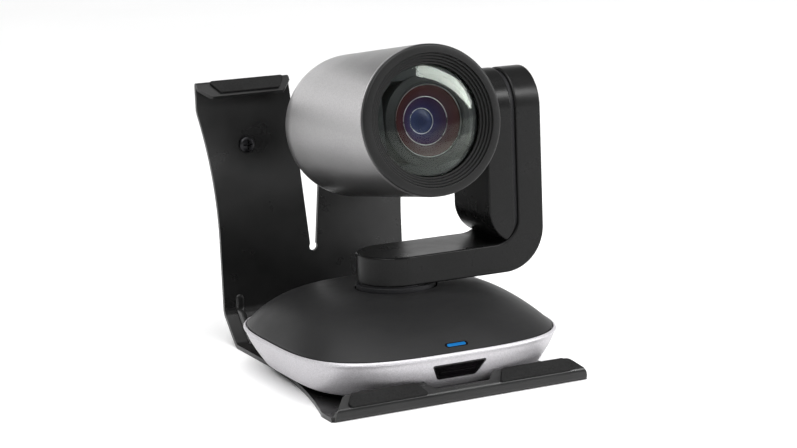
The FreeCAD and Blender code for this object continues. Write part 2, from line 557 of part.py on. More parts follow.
# ---------------------------------------------------------------- the pan arm
def build_arm():
    collar = cylinder("hub_collar", "hub_radius", "arm_bottom - 36", z=36)
    shaft = cylinder("hub_shaft", 9, "36 - base_bottom - 7.9", z="base_bottom + 8")
    wires = cylinder("hub_bore", 5, 60, z=0)
    screw_ring = [(12 * math.cos(a), 12 * math.sin(a)) for a in (math.pi / 2, 7 * math.pi / 6,
                                                                 11 * math.pi / 6)]
    hub_holes = [cylinder(f"hub_hole_{n}", 1.55, 8, x, y, 35) for n, (x, y) in enumerate(screw_ring)]
    node(cut("pan_hub", fuse("hub_solid", collar, shaft), wires, *hub_holes), "pan_hub")
    node(feature("pan_gear", spur_gear(40, 0.8, 4, 9.05), Vector(0, 0, 20)), "pan_gear")
    screws = [fuse(f"hub_screw_{n}", cylinder(f"hub_screw_head_{n}", 2.6, 1.6, x, y, 34.4),
                   cylinder(f"hub_screw_shank_{n}", 1.5, 13, x, y, 35.9))
              for n, (x, y) in enumerate(screw_ring)]
    node(fuse("hub_screws", *screws), "hub_screws")

    limb = padded("arm_limb", "XZ_Plane", [
        (0, "arm_bottom"), ("arm_side - arm_corner", "arm_bottom", "arm_corner", 1),
        ("arm_side", "arm_bottom + arm_corner"), ("arm_side", "arm_crown + 20"),
        ("arm_seam", "arm_crown + 20"), ("arm_seam", "arm_step + 12", 12, -1),
        ("arm_seam - 12", "arm_step"), (0, "arm_step")], "2 * arm_depth", 0, True)
    side_view = padded("arm_side_view", "YZ_Plane", [
        ("arm_depth", "arm_bottom - 1"), ("arm_depth", "arm_crown", "arm_depth + 0.01", 1),
        ("-arm_depth", "arm_crown"), ("-arm_depth", "arm_bottom - 1")], "arm_side + 1", -0.5)
    root_end = cylinder("arm_root", "arm_depth", "arm_step - arm_bottom", z="arm_bottom")
    motor_room = cylinder("arm_motor_room", 12, 11.4, "arm_seam - 0.1", 0, "tilt_height - tilt_centre", "X")
    arm_holes = [cylinder(f"arm_hole_{n}", 1.55, 8, x, y, "arm_bottom - 1")
                 for n, (x, y) in enumerate(screw_ring)]
    node(cut("arm_frame", fuse("arm_solid", common("arm_upright", limb, side_view), root_end), motor_room,
             cylinder("arm_wire_bore", 4, 10, z="arm_bottom - 1"), *arm_holes), "arm_frame")

    pod_front = padded("pod_front_view", "XZ_Plane", [
        ("pod_side", "arm_crown + 20"), ("pod_side", "arm_step + 11", "pod_corner", 1),
        ("pod_side + 5.1", "arm_step + 2.3", "pod_corner", 1), ("pod_seam", "arm_step + 12"),
        ("pod_seam", "arm_crown + 20")], "2 * arm_depth", 0, True)
    pod_side_view = padded("pod_side_view", "YZ_Plane", [
        ("arm_depth", "arm_step"), ("arm_depth", "arm_crown", "arm_depth + 0.01", 1),
        ("-arm_depth", "arm_crown"), ("-arm_depth", "arm_step")], 40, 35)
    pod = common("pod_slab", pod_front, pod_side_view)
    room = padded("pod_room", "YZ_Plane", [
        ("arm_depth - 2.6", 84), ("arm_depth - 2.6", "arm_crown", "arm_depth - 2.59", 1),
        ("2.6 - arm_depth", "arm_crown"), ("2.6 - arm_depth", 84)], 20, "pod_side + 2.2")
    bearing_hole = cylinder("pod_bearing_hole", 8.05, 10, "pod_side - 1", 0, "tilt_height", "X")
    node(cut("drive_housing", pod, room, bearing_hole), "drive_housing")

    seam = padded("seam_plate", "YZ_Plane", [
        ("arm_depth - 1.3", "arm_step + 14"), ("arm_depth - 1.3", "arm_crown", "arm_depth - 1.29", 1),
        ("1.3 - arm_depth", "arm_crown"), ("1.3 - arm_depth", "arm_step + 14")],
        "arm_seam - pod_seam", "pod_seam")
    node(cut("arm_seam", seam, cylinder("seam_hole", 4, 10, "pod_seam - 2", 0, "tilt_height - tilt_centre",
                                        "X")), "arm_seam")
    node(tube("tilt_bearing", 8.0, 4.06, 4.0, "pod_side", 0, "tilt_height", "X"), "tilt_bearing")
    node(cut("tilt_motor", cylinder("tilt_can", 11.7, 10.6, "arm_seam + 0.3", 0,
                                    "tilt_height - tilt_centre", "X"),
             cylinder("tilt_motor_bore", 1.06, 6, "arm_seam - 0.5", 0, "tilt_height - tilt_centre", "X")),
         "tilt_motor")
    across = Rotation(Vector(0, 1, 0), 90)
    pinion = spur_gear(15, 0.8, 4, 1.0).fuse(Part.makeCylinder(1.0, 13.5, Vector(0, 0, -0.5)))
    node(feature("tilt_pinion", pinion, Vector(46, 0, size("tilt_height - tilt_centre")), across),
         "tilt_pinion")


# ---------------------------------------------------------------- the tilting head
def in_head(part):
    """Moves a piece from the head's own frame, where the axis is Y, to the tilted rest position."""
    part.Placement = Placement(Vector(0, 0, size("tilt_height")),
                               Rotation(Vector(1, 0, 0), -size("head_tilt"))).multiply(part.Placement)
    return part


def head_node(part, label):
    node(in_head(part), label)


def build_head():
    shell = turned("shell_turn", [
        ("-shell_front", "head_radius - 2"), ("-shell_front", "head_radius"),
        ("head_straight", "head_radius", 21, -1), ("head_straight + head_rear", "head_flat"),
        ("head_straight + head_rear", 0), ("head_straight + head_rear - 2", 0),
        ("head_straight + head_rear - 2", "head_flat - 1.2", 19.5, 1),
        ("head_straight", "head_radius - 2")])
    head_node(cut("head_shell", shell, cylinder("shell_shaft_hole", "shaft_radius + 0.05", 20, 25, axis="X")),
              "head_shell")
    steps = [("-head_front", "bezel_bore + 4.6")]
    for step in range(1, 5):
        depth = f"-head_front + {0.925 * step}"
        steps += [(depth, f"bezel_bore + {4.6 - 1.15 * (step - 1):.2f}"),
                  (depth, f"bezel_bore + {4.6 - 1.15 * step:.2f}")]
    head_node(turned("front_bezel", [
        ("-shell_front", "head_radius"), ("-head_front", "head_radius"), *steps,
        ("-shell_front + 12", "bezel_bore"), ("-shell_front + 12", "bezel_bore + 1.8"),
        ("-shell_front + 3", "bezel_bore + 1.8"), ("-shell_front + 3", "head_radius - 2.1"),
        ("-shell_front", "head_radius - 2.1")]), "front_bezel")
    head_node(turned("front_glass", [("-40.6", 0), ("-40.6", "bezel_bore - 0.1"), ("-39.0", "bezel_bore - 0.1"),
                                     ("-39.0", 0)]), "front_glass")
    plate = turned("baffle_disc", [("-36.4", 0), ("-36.4", "bezel_bore - 0.2"), ("-35.0", "bezel_bore - 0.2"),
                                   ("-35.0", 0)])
    mouth = padded("baffle_mouth", "XZ_Plane", [
        (18.5, 11.5), (13.5, 17.0), (-13.5, 17.0), (-18.5, 11.5), (-18.5, -11.5), (-13.5, -17.0),
        (13.5, -17.0), (18.5, -11.5)], 8, 32)
    head_node(cut("baffle", plate, mouth), "baffle")
    head_node(turned("lens_barrel", [
        ("-34.6", 18.4), ("-34.6", 20.4), ("20", 20.4), ("20", 8.2), ("18", 8.2), ("18", 17.6),
        ("-24.5", 17.6), ("-24.5", 18.4)]), "lens_barrel")
    head_node(turned("front_element", [("-33.4", 0), ("-32.6", 8), ("-30.6", 14), ("-28.6", 18.3),
                                       ("-24.6", 18.3), ("-24.6", 0)]), "front_element")
    head_node(turned("lens_mount", [("10", 20.5), ("10", "head_radius - 2.1"), ("12", "head_radius - 2.1"),
                                    ("12", 20.5)]), "lens_mount")
    rods = [cylinder(f"guide_rod_{n}", 1.0, 42.4, x, -24.5, 0, "Y") for n, x in enumerate((-13.5, 13.5))]
    head_node(fuse("guide_rods", *rods), "guide_rods")
    for label, low, thick, glass_radius in (("zoom_group", -20, 6, 9.0), ("focus_group", 6, 4, 7.0)):
        carrier = cylinder(label + "_disc", 17.3, thick, 0, low, 0, "Y")
        holes = [cylinder(f"{label}_hole_{n}", 1.08, f"{thick} + 2", x, f"{low} - 1", 0, "Y")
                 for n, x in enumerate((-13.5, 13.5))]
        dish = cylinder(label + "_dish", glass_radius, 2, 0, f"{low} - 1", 0, "Y")
        head_node(cut(label, carrier, dish, *holes), label)
    motors = [cylinder(f"lens_motor_{n}", 4, 20, 0, -18, z, "Y") for n, z in enumerate((-25.5, 25.5))]
    head_node(fuse("lens_motors", *motors), "lens_motors")
    card = block("sensor_card", 34, 1.6, 34, -17, 23, -17)
    card_holes = [cylinder(f"card_hole_{n}", 1.3, 4, f"{i} * 14", 22, f"{j} * 14", "Y")
                  for n, (i, j) in enumerate(((1, 1), (1, -1), (-1, 1), (-1, -1)))]
    head_node(cut("drilled_card", card, *card_holes), "sensor_board")
    head_node(fuse("sensor_package", block("sensor_case", 10, 1.2, 9, -5, 21.8, -4.5),
                   block("sensor_cover", 8, 0.8, 6, -4, 21.2, -3)), "image_sensor")
    boss = cylinder("collar_rod", 11, 14.5, 25.8, axis="X")
    drum = cylinder("collar_drum", "head_radius + 0.02", 60, 0, -30, 0, "Y")
    bore = cylinder("collar_bore", "shaft_radius + 0.05", 30, 20, axis="X")
    head_node(cut("tilt_collar", boss, drum, bore), "tilt_collar")
    head_node(tube("tilt_rod", "shaft_radius", 2.4, 25.5, 26, axis="X"), "tilt_shaft")
    gear = spur_gear(30, 0.8, 4, size("shaft_radius") + 0.02)
    node(feature("tilt_gear", gear, Vector(46, 0, size("tilt_height")),
                 Rotation(Vector(0, 1, 0), 90)), "tilt_gear")


build_mount()
build_mount_pads()
build_wall_screws()
build_base()
build_sockets()
build_drive_and_boards()
build_arm()
build_head()
doc.recompute()

# ---------------------------------------------------------------- checks and export
for thing in doc.Objects:
    if {"Invalid", "Error"} & set(thing.State):
        raise SystemExit(f"{thing.Name} failed: {thing.State}")
for part in NODES:
    if part.Shape.isNull() or not part.Shape.isValid() or part.Shape.Volume < 1:
        raise SystemExit(f"{part.Label} has no valid solid")
os.makedirs("parts", exist_ok=True)
for part in NODES:
    part.Shape.exportStep(f"parts/{part.Label}.step")
print(len(NODES), "nodes")
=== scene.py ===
"""Looks of the pan-tilt-zoom camera on its bent sheet-steel mount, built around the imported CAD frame.

Lengths are written in millimetres and scaled to metres when a mesh is made. The frame is the CAD's:
+Z up along the pan axis, -Y the way the lens looks, +X the side of the tilt arm.
"""
import bmesh
import bpy
import json
import math
from mathutils import Matrix, Vector


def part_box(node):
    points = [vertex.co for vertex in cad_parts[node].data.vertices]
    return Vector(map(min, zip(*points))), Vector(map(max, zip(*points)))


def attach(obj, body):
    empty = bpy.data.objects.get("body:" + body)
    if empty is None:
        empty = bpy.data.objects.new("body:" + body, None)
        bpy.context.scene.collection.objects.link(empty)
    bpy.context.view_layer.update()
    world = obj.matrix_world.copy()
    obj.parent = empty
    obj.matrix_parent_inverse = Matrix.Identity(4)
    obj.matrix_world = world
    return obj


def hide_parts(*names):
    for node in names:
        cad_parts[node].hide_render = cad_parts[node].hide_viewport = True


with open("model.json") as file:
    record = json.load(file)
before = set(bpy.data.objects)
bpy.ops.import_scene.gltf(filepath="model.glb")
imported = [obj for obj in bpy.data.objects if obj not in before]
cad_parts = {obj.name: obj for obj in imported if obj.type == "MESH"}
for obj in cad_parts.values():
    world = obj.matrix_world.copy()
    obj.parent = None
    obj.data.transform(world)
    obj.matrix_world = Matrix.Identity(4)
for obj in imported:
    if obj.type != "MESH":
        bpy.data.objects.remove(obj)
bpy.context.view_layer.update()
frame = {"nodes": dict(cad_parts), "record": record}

MM = 0.001


# ---------------------------------------------------------------- sizes, in millimetres, read from the frame
def span(node, axis):
    """Lowest and highest coordinate of a CAD node along one axis, in millimetres."""
    low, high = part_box(node)
    return low[axis] / MM, high[axis] / MM


BASE_HALF = span("base_shell", 0)[1]
BASE_LOW = span("base_shell", 2)[0]
RIM = span("base_shell", 2)[1] + 0.4
SHEET = BASE_LOW - span("base_feet", 2)[1] + span("base_feet", 2)[0]
ARM_LOW = span("arm_frame", 2)[0]
ARM_SIDE = span("arm_frame", 0)[1]
ARM_DEPTH = span("arm_frame", 1)[1]
ARM_TOP = span("arm_frame", 2)[1]
POD_LOW, POD_HIGH = span("drive_housing", 0)
SEAM_HIGH = span("arm_seam", 0)[1]
PLATE_REAR = span("bracket", 1)[1]
LIP_FRONT = span("bracket", 1)[0]
LIP_HALF = span("bracket", 0)[1]
FLANGE_TOP = span("bracket", 2)[1]
HUB_RADIUS = span("pan_hub", 0)[1]
TILT_HEIGHT = 114.7     # tilt axis over the floor
HEAD_TILT = math.radians(7.85)
HEAD_RADIUS = 33.3
HEAD_STRAIGHT = 37.0    # where the head's straight side ends, behind the tilt axis
HEAD_REAR = 60.0
BEZEL_FACE = -45.2      # front of the bezel and of the silver shell, ahead of the tilt axis
SHELL_FACE = -42.2
LENS_BORE = 24.7
RIM_POWER = 3.38        # squareness of the base seen from above
RISE = 17.9             # dome of the cover over the rim
COVER_INSET = 1.35      # the cover is this much narrower than the silver side
LED_FRONT = -59.0
DOME_FALL, DOME_FALL_FRONT = 4.7, 2.1   # how late the cover falls away, at the sides and in front


# ---------------------------------------------------------------- mesh tools
def to_object(name, bm):
    """A new object from a bmesh in millimetres, with its faces turned outwards."""
    bmesh.ops.remove_doubles(bm, verts=bm.verts, dist=1e-4)
    bmesh.ops.recalc_face_normals(bm, faces=bm.faces)
    mesh = bpy.data.meshes.new(name)
    bm.to_mesh(mesh)
    bm.free()
    mesh.transform(Matrix.Scale(MM, 4))
    piece = bpy.data.objects.new(name, mesh)
    bpy.context.scene.collection.objects.link(piece)
    return piece


def settle(piece):
    """Bakes the modifiers into the mesh."""
    bpy.context.view_layer.update()
    graph = bpy.context.evaluated_depsgraph_get()
    mesh = bpy.data.meshes.new_from_object(piece.evaluated_get(graph))
    piece.modifiers.clear()
    piece.data = mesh
    return piece


def combine(piece, other, how="DIFFERENCE"):
    """Boolean of two objects; the second is used up."""
    modifier = piece.modifiers.new("combine", "BOOLEAN")
    modifier.object = other
    modifier.operation = how
    modifier.solver = "EXACT"
    settle(piece)
    bpy.data.objects.remove(other)
    return piece


def clean(piece):
    """Joins double points and flat neighbouring faces left by booleans."""
    bm = bmesh.new()
    bm.from_mesh(piece.data)
    bmesh.ops.remove_doubles(bm, verts=bm.verts, dist=2e-6)
    bmesh.ops.dissolve_limit(bm, angle_limit=math.radians(0.4), verts=bm.verts, edges=bm.edges)
    bm.to_mesh(piece.data)
    bm.free()
    return piece


def soften(piece, width, segments=3, angle=32):
    """Rounds the sharp edges by a width in millimetres and shades the flats flat."""
    bevel = piece.modifiers.new("bevel", "BEVEL")
    bevel.width = width * MM
    bevel.segments = segments
    bevel.limit_method = "ANGLE"
    bevel.angle_limit = math.radians(angle)
    bevel.miter_outer = "MITER_ARC"
    settle(piece)
    return smooth(piece, 50, True)


def smooth(piece, angle=35, weighted=False):
    """Smooth shading that stays sharp at edges over an angle in degrees."""
    piece.data.shade_smooth()
    piece.data.set_sharp_from_angle(angle=math.radians(angle))
    if weighted:
        normals = piece.modifiers.new("normals", "WEIGHTED_NORMAL")
        normals.keep_sharp = True
        normals.weight = 80
    return piece


def fillet(points, steps=8):
    """A closed outline. A corner (x, y, radius) is rounded; (x, y) stays sharp."""
    result = []
    for number, corner in enumerate(points):
        here = Vector(corner[:2])
        if len(corner) == 2:
            result.append(here)
            continue
        back = Vector(points[number - 1][:2]) - here
        ahead = Vector(points[(number + 1) % len(points)][:2]) - here
        result += arc_at(here, back, ahead, corner[2], steps)
    return result


def arc_at(here, back, ahead, radius, steps):
    """Points of the arc that rounds a corner between two directions."""
    half = back.angle(ahead) / 2
    reach = min(radius / math.tan(half), 0.499 * min(back.length, ahead.length))
    radius = reach * math.tan(half)
    back, ahead = back.normalized(), ahead.normalized()
    centre = here + (back + ahead).normalized() * radius / math.sin(half)
    start, end = here + back * reach - centre, here + ahead * reach - centre
    turn = start.angle_signed(end)
    return [centre + Matrix.Rotation(-turn * step / steps, 2) @ start for step in range(steps + 1)]


def open_path(points, steps=8):
    """An open line whose inner corners (x, y, radius) are rounded."""
    result = [Vector(points[0][:2])]
    for number in range(1, len(points) - 1):
        corner = points[number]
        here = Vector(corner[:2])
        if len(corner) == 2:
            result.append(here)
            continue
        result += arc_at(here, Vector(points[number - 1][:2]) - here,
                         Vector(points[number + 1][:2]) - here, corner[2], steps)
    return result + [Vector(points[-1][:2])]


PLACES = {"X": lambda a, b, h: (h, a, b), "Y": lambda a, b, h: (a, h, b), "Z": lambda a, b, h: (a, b, h)}


def prism(name, outline, axis, low, high):
    """A straight slab: the outline is (y, z) along X, (x, z) along Y or (x, y) along Z."""
    bm = bmesh.new()
    place = PLACES[axis]
    rings = [[bm.verts.new(place(p[0], p[1], level)) for p in outline] for level in (low, high)]
    skin(bm, rings)
    bm.faces.new(rings[0])
    bm.faces.new(rings[1])
    return to_object(name, bm)


def skin(bm, rings, closed=True):
    """Quads between neighbouring rings of the same length."""
    for first, second in zip(rings, rings[1:]):
        count = len(first)
        for n in range(count if closed else count - 1):
            m = (n + 1) % count
            corners = [first[n], first[m], second[m], second[n]]
            if len(set(corners)) > 2:
                bm.faces.new(corners)


def loft(name, rings, loop=False):
    """A closed skin over rings of points; loop joins the last ring to the first, else they are capped."""
    bm = bmesh.new()
    made = [[bm.verts.new(p) for p in ring] for ring in rings]
    skin(bm, made + made[:1] if loop else made)
    if not loop:
        bm.faces.new(made[0])
        bm.faces.new(made[-1])
    return to_object(name, bm)


def circle(radius, steps):
    """Points evenly around a circle."""
    angles = [2 * math.pi * n / steps for n in range(steps)]
    return [(radius * math.cos(a), radius * math.sin(a)) for a in angles]


def sweep(start, end, steps=14):
    """Angles in radians from start to end, given in degrees."""
    return [math.radians(start + (end - start) * n / steps) for n in range(steps + 1)]


def arc(x, y, radius, start, end, steps=14):
    """Points of an arc between two angles in degrees."""
    return [(x + radius * math.cos(a), y + radius * math.sin(a)) for a in sweep(start, end, steps)]


def turned(name, outline, loop=True, steps=144):
    """A body turned about the Y axis from (y, radius) points, in the head's own frame."""
    rings = [[(a, y, b) for a, b in circle(radius, steps)] for y, radius in outline]
    return loft(name, rings, loop)


def upright(name, outline, x=0, y=0, loop=False, steps=96):
    """A body turned about a vertical axis from (z, radius) points."""
    rings = [[(x + a, y + b, z) for a, b in circle(radius, steps)] for z, radius in outline]
    return loft(name, rings, loop)


IN_HEAD = Matrix.Translation((0, 0, TILT_HEIGHT * MM)) @ Matrix.Rotation(-HEAD_TILT, 4, "X")


def tilted(piece):
    """Moves a piece from the head's own frame to its rest place."""
    piece.data.transform(IN_HEAD)
    return piece


def finish_piece(piece, body, material, slot, *nodes):
    """Gives a piece its material, its body and the CAD nodes it stands for; the slot is not used."""
    piece.data.materials.clear()
    piece.data.materials.append(material)
    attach(piece, body)
    if nodes:
        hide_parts(*nodes)
    return piece


# ---------------------------------------------------------------- materials
def add_node(tree, kind, settings):
    """A shader node with the settings given."""
    made = tree.nodes.new("ShaderNode" + kind)
    for key, amount in settings.items():
        setattr(made, key, amount)
    return made


def set_range(node, start, end, low, high):
    """Sets the ends of a Map Range node."""
    for socket, amount in (("From Min", start), ("From Max", end), ("To Min", low), ("To Max", high)):
        node.inputs[socket].default_value = amount


class Finish:
    """A procedural material on one Principled shader, in the row's own coordinates."""

    def __init__(self, name, colour, rough, metallic=0.0, **sockets):
        self.material = bpy.data.materials.new(name)
        self.material.use_nodes = True
        self.tree = self.material.node_tree
        self.shader = self.tree.nodes["Principled BSDF"]
        self.shader.inputs["Base Color"].default_value = (*colour, 1)
        self.shader.inputs["Roughness"].default_value = rough
        self.shader.inputs["Metallic"].default_value = metallic
        for socket, amount in sockets.items():
            self.shader.inputs[socket.replace("_", " ")].default_value = amount
        self.place = self.node("TexCoord")
        self.colour, self.rough = colour, rough
        self.normal = None

    def node(self, kind, **settings):
        return add_node(self.tree, kind, settings)

    def link(self, source, target):
        self.tree.links.new(source, target)

    def noise(self, scale, detail=3.0, stretch=None, rough=0.5):
        texture = self.node("TexNoise")
        texture.inputs["Scale"].default_value = scale
        texture.inputs["Detail"].default_value = detail
        texture.inputs["Roughness"].default_value = rough
        self.link(self.mapped(stretch), texture.inputs["Vector"])
        return texture.outputs["Fac"]

    def mapped(self, stretch):
        if not stretch:
            return self.place.outputs["Object"]
        mapping = self.node("Mapping")
        mapping.inputs["Scale"].default_value = stretch
        self.link(self.place.outputs["Object"], mapping.inputs["Vector"])
        return mapping.outputs["Vector"]

    def ranged(self, source, low, high, start=0.3, end=0.7):
        ramp = self.node("MapRange")
        set_range(ramp, start, end, low, high)
        self.link(source, ramp.inputs["Value"])
        return ramp.outputs["Result"]

    def vary_rough(self, source, swing):
        self.link(self.ranged(source, max(self.rough - swing, 0.02), self.rough + swing),
                  self.shader.inputs["Roughness"])
        return self

    def vary_colour(self, source, other, start=0.35, end=0.65):
        mix = self.node("Mix", data_type="RGBA")
        mix.inputs[6].default_value = (*self.colour, 1)
        mix.inputs[7].default_value = (*other, 1)
        self.link(self.ranged(source, 0, 1, start, end), mix.inputs["Factor"])
        self.link(mix.outputs[2], self.shader.inputs["Base Color"])
        return self

    def paint_shade_by_height(self, low, high, stops):
        """Paints shade into the colour: scales it by shares set at points from low to high, in metres."""
        parts = self.node("SeparateXYZ")
        self.link(self.place.outputs["Object"], parts.inputs["Vector"])
        ramp = self.node("ValToRGB")
        ramp.color_ramp.interpolation = "EASE"
        points = ramp.color_ramp.elements
        while len(points) < len(stops):
            points.new(0.5)
        for point, (place, share) in zip(points, stops):
            point.position, point.color = place, (share, share, share, 1)
        self.link(self.ranged(parts.outputs["Z"], 0, 1, low, high), ramp.inputs["Fac"])
        shade = self.node("Mix", data_type="RGBA", blend_type="MULTIPLY")
        shade.inputs["Factor"].default_value = 1.0
        self.link(self.shader.inputs["Base Color"].links[0].from_socket, shade.inputs[6])
        self.link(ramp.outputs["Color"], shade.inputs[7])
        self.link(shade.outputs[2], self.shader.inputs["Base Color"])
        return self

    def bump(self, source, strength, depth):
        """Raises the surface; depth is in millimetres."""
        made = self.node("Bump")
        made.inputs["Strength"].default_value = strength
        made.inputs["Distance"].default_value = depth * MM
        self.link(source, made.inputs["Height"])
        if self.normal:
            self.link(self.normal, made.inputs["Normal"])
        self.normal = made.outputs["Normal"]
        self.link(self.normal, self.shader.inputs["Normal"])
        return self


def powder_coat(name, colour, rough, peel=0.35):
    """Baked paint on steel: a slight orange peel and uneven gloss."""
    f = Finish(name, colour, rough, Specular_IOR_Level=0.34)
    lighter = tuple(c * 1.5 + 0.003 for c in colour)
    f.vary_colour(f.noise(35, 4), lighter).vary_rough(f.noise(60, 5), 0.07)
    f.bump(f.noise(900, 2), peel, 0.03).bump(f.noise(3500, 2), 0.25, 0.01)
    return f.material


def moulded(name, colour, rough, grain=0.5, size=3200, specular=0.45):
    """Plastic with a fine spark-eroded grain and faint handling marks."""
    f = Finish(name, colour, rough, Specular_IOR_Level=specular)
    lighter = tuple(c * 1.35 + 0.003 for c in colour)
    f.vary_colour(f.noise(size, 2), lighter).vary_rough(f.noise(45, 6, rough=0.65), 0.06)
    f.bump(f.noise(size, 3), grain, 0.02)
    return f.material


def rubber(name, colour):
    """Matt rubber with a coarse grain."""
    f = Finish(name, colour, 0.72, Specular_IOR_Level=0.15)
    f.vary_colour(f.noise(1200, 4), tuple(c * 1.8 for c in colour)).vary_rough(f.noise(90, 4), 0.08)
    f.bump(f.noise(1800, 4), 0.6, 0.05)
    return f.material


def flake_paint(name, colour, rough, metallic, shades=None):
    """Silver paint: fine metal flakes under a thin clear coat; shades, when given, darken it by height as
    painted shade.
    """
    f = Finish(name, colour, rough, metallic, Coat_Weight=0.1, Coat_Roughness=0.3)
    flakes = f.node("TexVoronoi")
    flakes.inputs["Scale"].default_value = 3800
    f.link(f.place.outputs["Object"], flakes.inputs["Vector"])
    parted = f.node("SeparateColor")
    f.link(flakes.outputs["Color"], parted.inputs["Color"])
    f.vary_colour(parted.outputs["Red"], tuple(c * 0.72 for c in colour), 0.0, 1.0)
    # painted shade: where shades are given, the colour is scaled down by height
    if shades:
        f.paint_shade_by_height(*shades)
    f.vary_rough(f.noise(50, 5), 0.035)
    f.bump(parted.outputs["Green"], 0.12, 0.006).bump(f.noise(1400, 2), 0.05, 0.02)
    return f.material


def metal(name, colour, rough, stretch=(900, 900, 60)):
    """Metal with fine drawn or turned lines."""
    f = Finish(name, colour, rough, 1.0)
    lines = f.noise(1.5, 4, stretch)
    f.vary_colour(lines, tuple(c * 0.7 for c in colour)).vary_rough(f.noise(70, 5), 0.08)
    f.bump(lines, 0.25, 0.01)
    return f.material


def circuit(name):
    """Green solder mask with copper tracks showing through as lighter lines."""
    f = Finish(name, (0.012, 0.09, 0.035), 0.38, Coat_Weight=0.3)
    tracks = f.node("TexBrick", offset=0.5)
    tracks.inputs["Scale"].default_value = 260
    tracks.inputs["Mortar Size"].default_value = 0.035
    f.link(f.place.outputs["Object"], tracks.inputs["Vector"])
    f.vary_colour(tracks.outputs["Fac"], (0.05, 0.26, 0.1), 0.0, 1.0)
    f.bump(tracks.outputs["Fac"], 0.3, 0.03).vary_rough(f.noise(120), 0.05)
    return f.material


def lamp_blue(name):
    """Blue light bar behind a frosted window, its glow varying a little from place to place."""
    f = Finish(name, (0.0, 0.05, 0.14), 0.45, Emission_Strength=0.6, Specular_IOR_Level=0.15)
    glow = f.node("Mix", data_type="RGBA")
    glow.inputs[6].default_value = (0.0, 0.13, 0.42, 1)
    glow.inputs[7].default_value = (0.004, 0.2, 0.55, 1)
    f.link(f.ranged(f.noise(180, 2), 0, 1), glow.inputs["Factor"])
    f.link(glow.outputs[2], f.shader.inputs["Emission Color"])
    f.vary_rough(f.noise(300), 0.05).bump(f.noise(2500), 0.2, 0.01)
    return f.material


def smoked(name):
    """Dark glossy plastic that hides a receiver."""
    f = Finish(name, (0.003, 0.003, 0.003), 0.12, Specular_IOR_Level=0.25)
    f.vary_colour(f.noise(60), (0.005, 0.004, 0.005)).vary_rough(f.noise(80, 6), 0.03)
    f.bump(f.noise(400), 0.05, 0.01)
    return f.material


def pane(name, tint, gleam, rough, ior):
    """Thin coated glass: see-through, with reflections that grow towards the edge."""
    f = Finish(name, gleam, rough, 1.0)
    f.vary_rough(f.noise(30, 6), 0.012)
    through = f.node("BsdfTransparent")
    through.inputs["Color"].default_value = (*tint, 1)
    gloss = f.node("Fresnel")
    gloss.inputs["IOR"].default_value = ior
    mix = f.node("MixShader")
    f.link(gloss.outputs["Fac"], mix.inputs["Fac"])
    f.link(through.outputs["BSDF"], mix.inputs[1])
    f.link(f.shader.outputs["BSDF"], mix.inputs[2])
    f.link(mix.outputs["Shader"], f.tree.nodes["Material Output"].inputs["Surface"])
    return f.material


def coating(name, inner, outer, near, far):
    """Coated lens surface whose tint changes with the distance from the lens axis, in millimetres."""
    f = Finish(name, inner, 0.35, Specular_IOR_Level=0.12)
    back = f.node("Mapping")
    back.vector_type = "POINT"
    centre = IN_HEAD.inverted()
    back.inputs["Location"].default_value = centre.to_translation()
    back.inputs["Rotation"].default_value = centre.to_euler()
    f.link(f.place.outputs["Object"], back.inputs["Vector"])
    flat = f.node("VectorMath", operation="MULTIPLY")
    flat.inputs[1].default_value = (1, 0, 1)
    f.link(back.outputs["Vector"], flat.inputs[0])
    length = f.node("VectorMath", operation="LENGTH")
    f.link(flat.outputs["Vector"], length.inputs[0])
    f.vary_colour(length.outputs["Value"], outer, near * MM, far * MM)
    f.vary_rough(f.noise(90, 4), 0.03)
    return f.material


BLACK_STEEL = powder_coat("black_powder_coat", (0.006, 0.006, 0.006), 0.32)
ARM_BLACK = moulded("satin_black", (0.005, 0.005, 0.005), 0.3, 0.2, 2600, 0.16)
BEZEL_BLACK = moulded("bezel_black", (0.008, 0.008, 0.008), 0.36, 0.2, 3000, 0.2)
CHARCOAL = moulded("charcoal_plastic", (0.0105, 0.0105, 0.0108), 0.44, 0.4, 3600, 0.3)
MATTE_BLACK = moulded("matte_black_plastic", (0.006, 0.006, 0.007), 0.55, 0.3, 2400, 0.25)
COMPONENT = moulded("component_black", (0.02, 0.02, 0.022), 0.45, 0.4, 1800)
GEAR_WHITE = moulded("acetal_white", (0.62, 0.6, 0.55), 0.4, 0.15, 1500)
RUBBER = rubber("soft_rubber", (0.006, 0.006, 0.006))
BAFFLE_BLACK = moulded("baffle_black", (0.02, 0.021, 0.023), 0.42, 0.2, 2600, 0.3)
SILVER = flake_paint("silver_paint", (0.56, 0.545, 0.57), 0.42, 0.35)
# The head's silver carries painted shade: much darker towards its underside and a little darker at its top.
HEAD_SILVER_PAINTED_SHADE = flake_paint("head_silver_painted_shade", (0.58, 0.57, 0.575), 0.34, 0.7, (
    0.08, 0.15, ((0.04, 0.1), (0.28, 0.25), (0.52, 0.66), (0.7, 1.0), (0.8, 0.95), (0.93, 0.4))))
STEEL = metal("bright_steel", (0.55, 0.55, 0.56), 0.3)
ZINC = metal("zinc_steel", (0.45, 0.47, 0.5), 0.4, (300, 300, 300))
BRASS = metal("turned_brass", (0.75, 0.52, 0.2), 0.28, (700, 700, 120))
DARK_SCREW = metal("black_oxide", (0.03, 0.03, 0.032), 0.36, (400, 400, 400))
BOARD = circuit("circuit_board")
BLUE_LIGHT = lamp_blue("blue_light")
SMOKED = smoked("smoked_plastic")
CLEAR = pane("clear_pane", (0.97, 0.99, 0.98), (0.94, 1.0, 0.92), 0.06, 1.25)
CELL_RED = coating("cell_red", (0.02, 0.006, 0.014), (0.04, 0.009, 0.009), 10, 15)
CELL_BLUE = coating("cell_blue", (0.014, 0.015, 0.055), (0.026, 0.011, 0.034), 5, 10)
CELL_CORE = coating("cell_core", (0.005, 0.008, 0.03), (0.016, 0.022, 0.06), 1.5, 5.5)

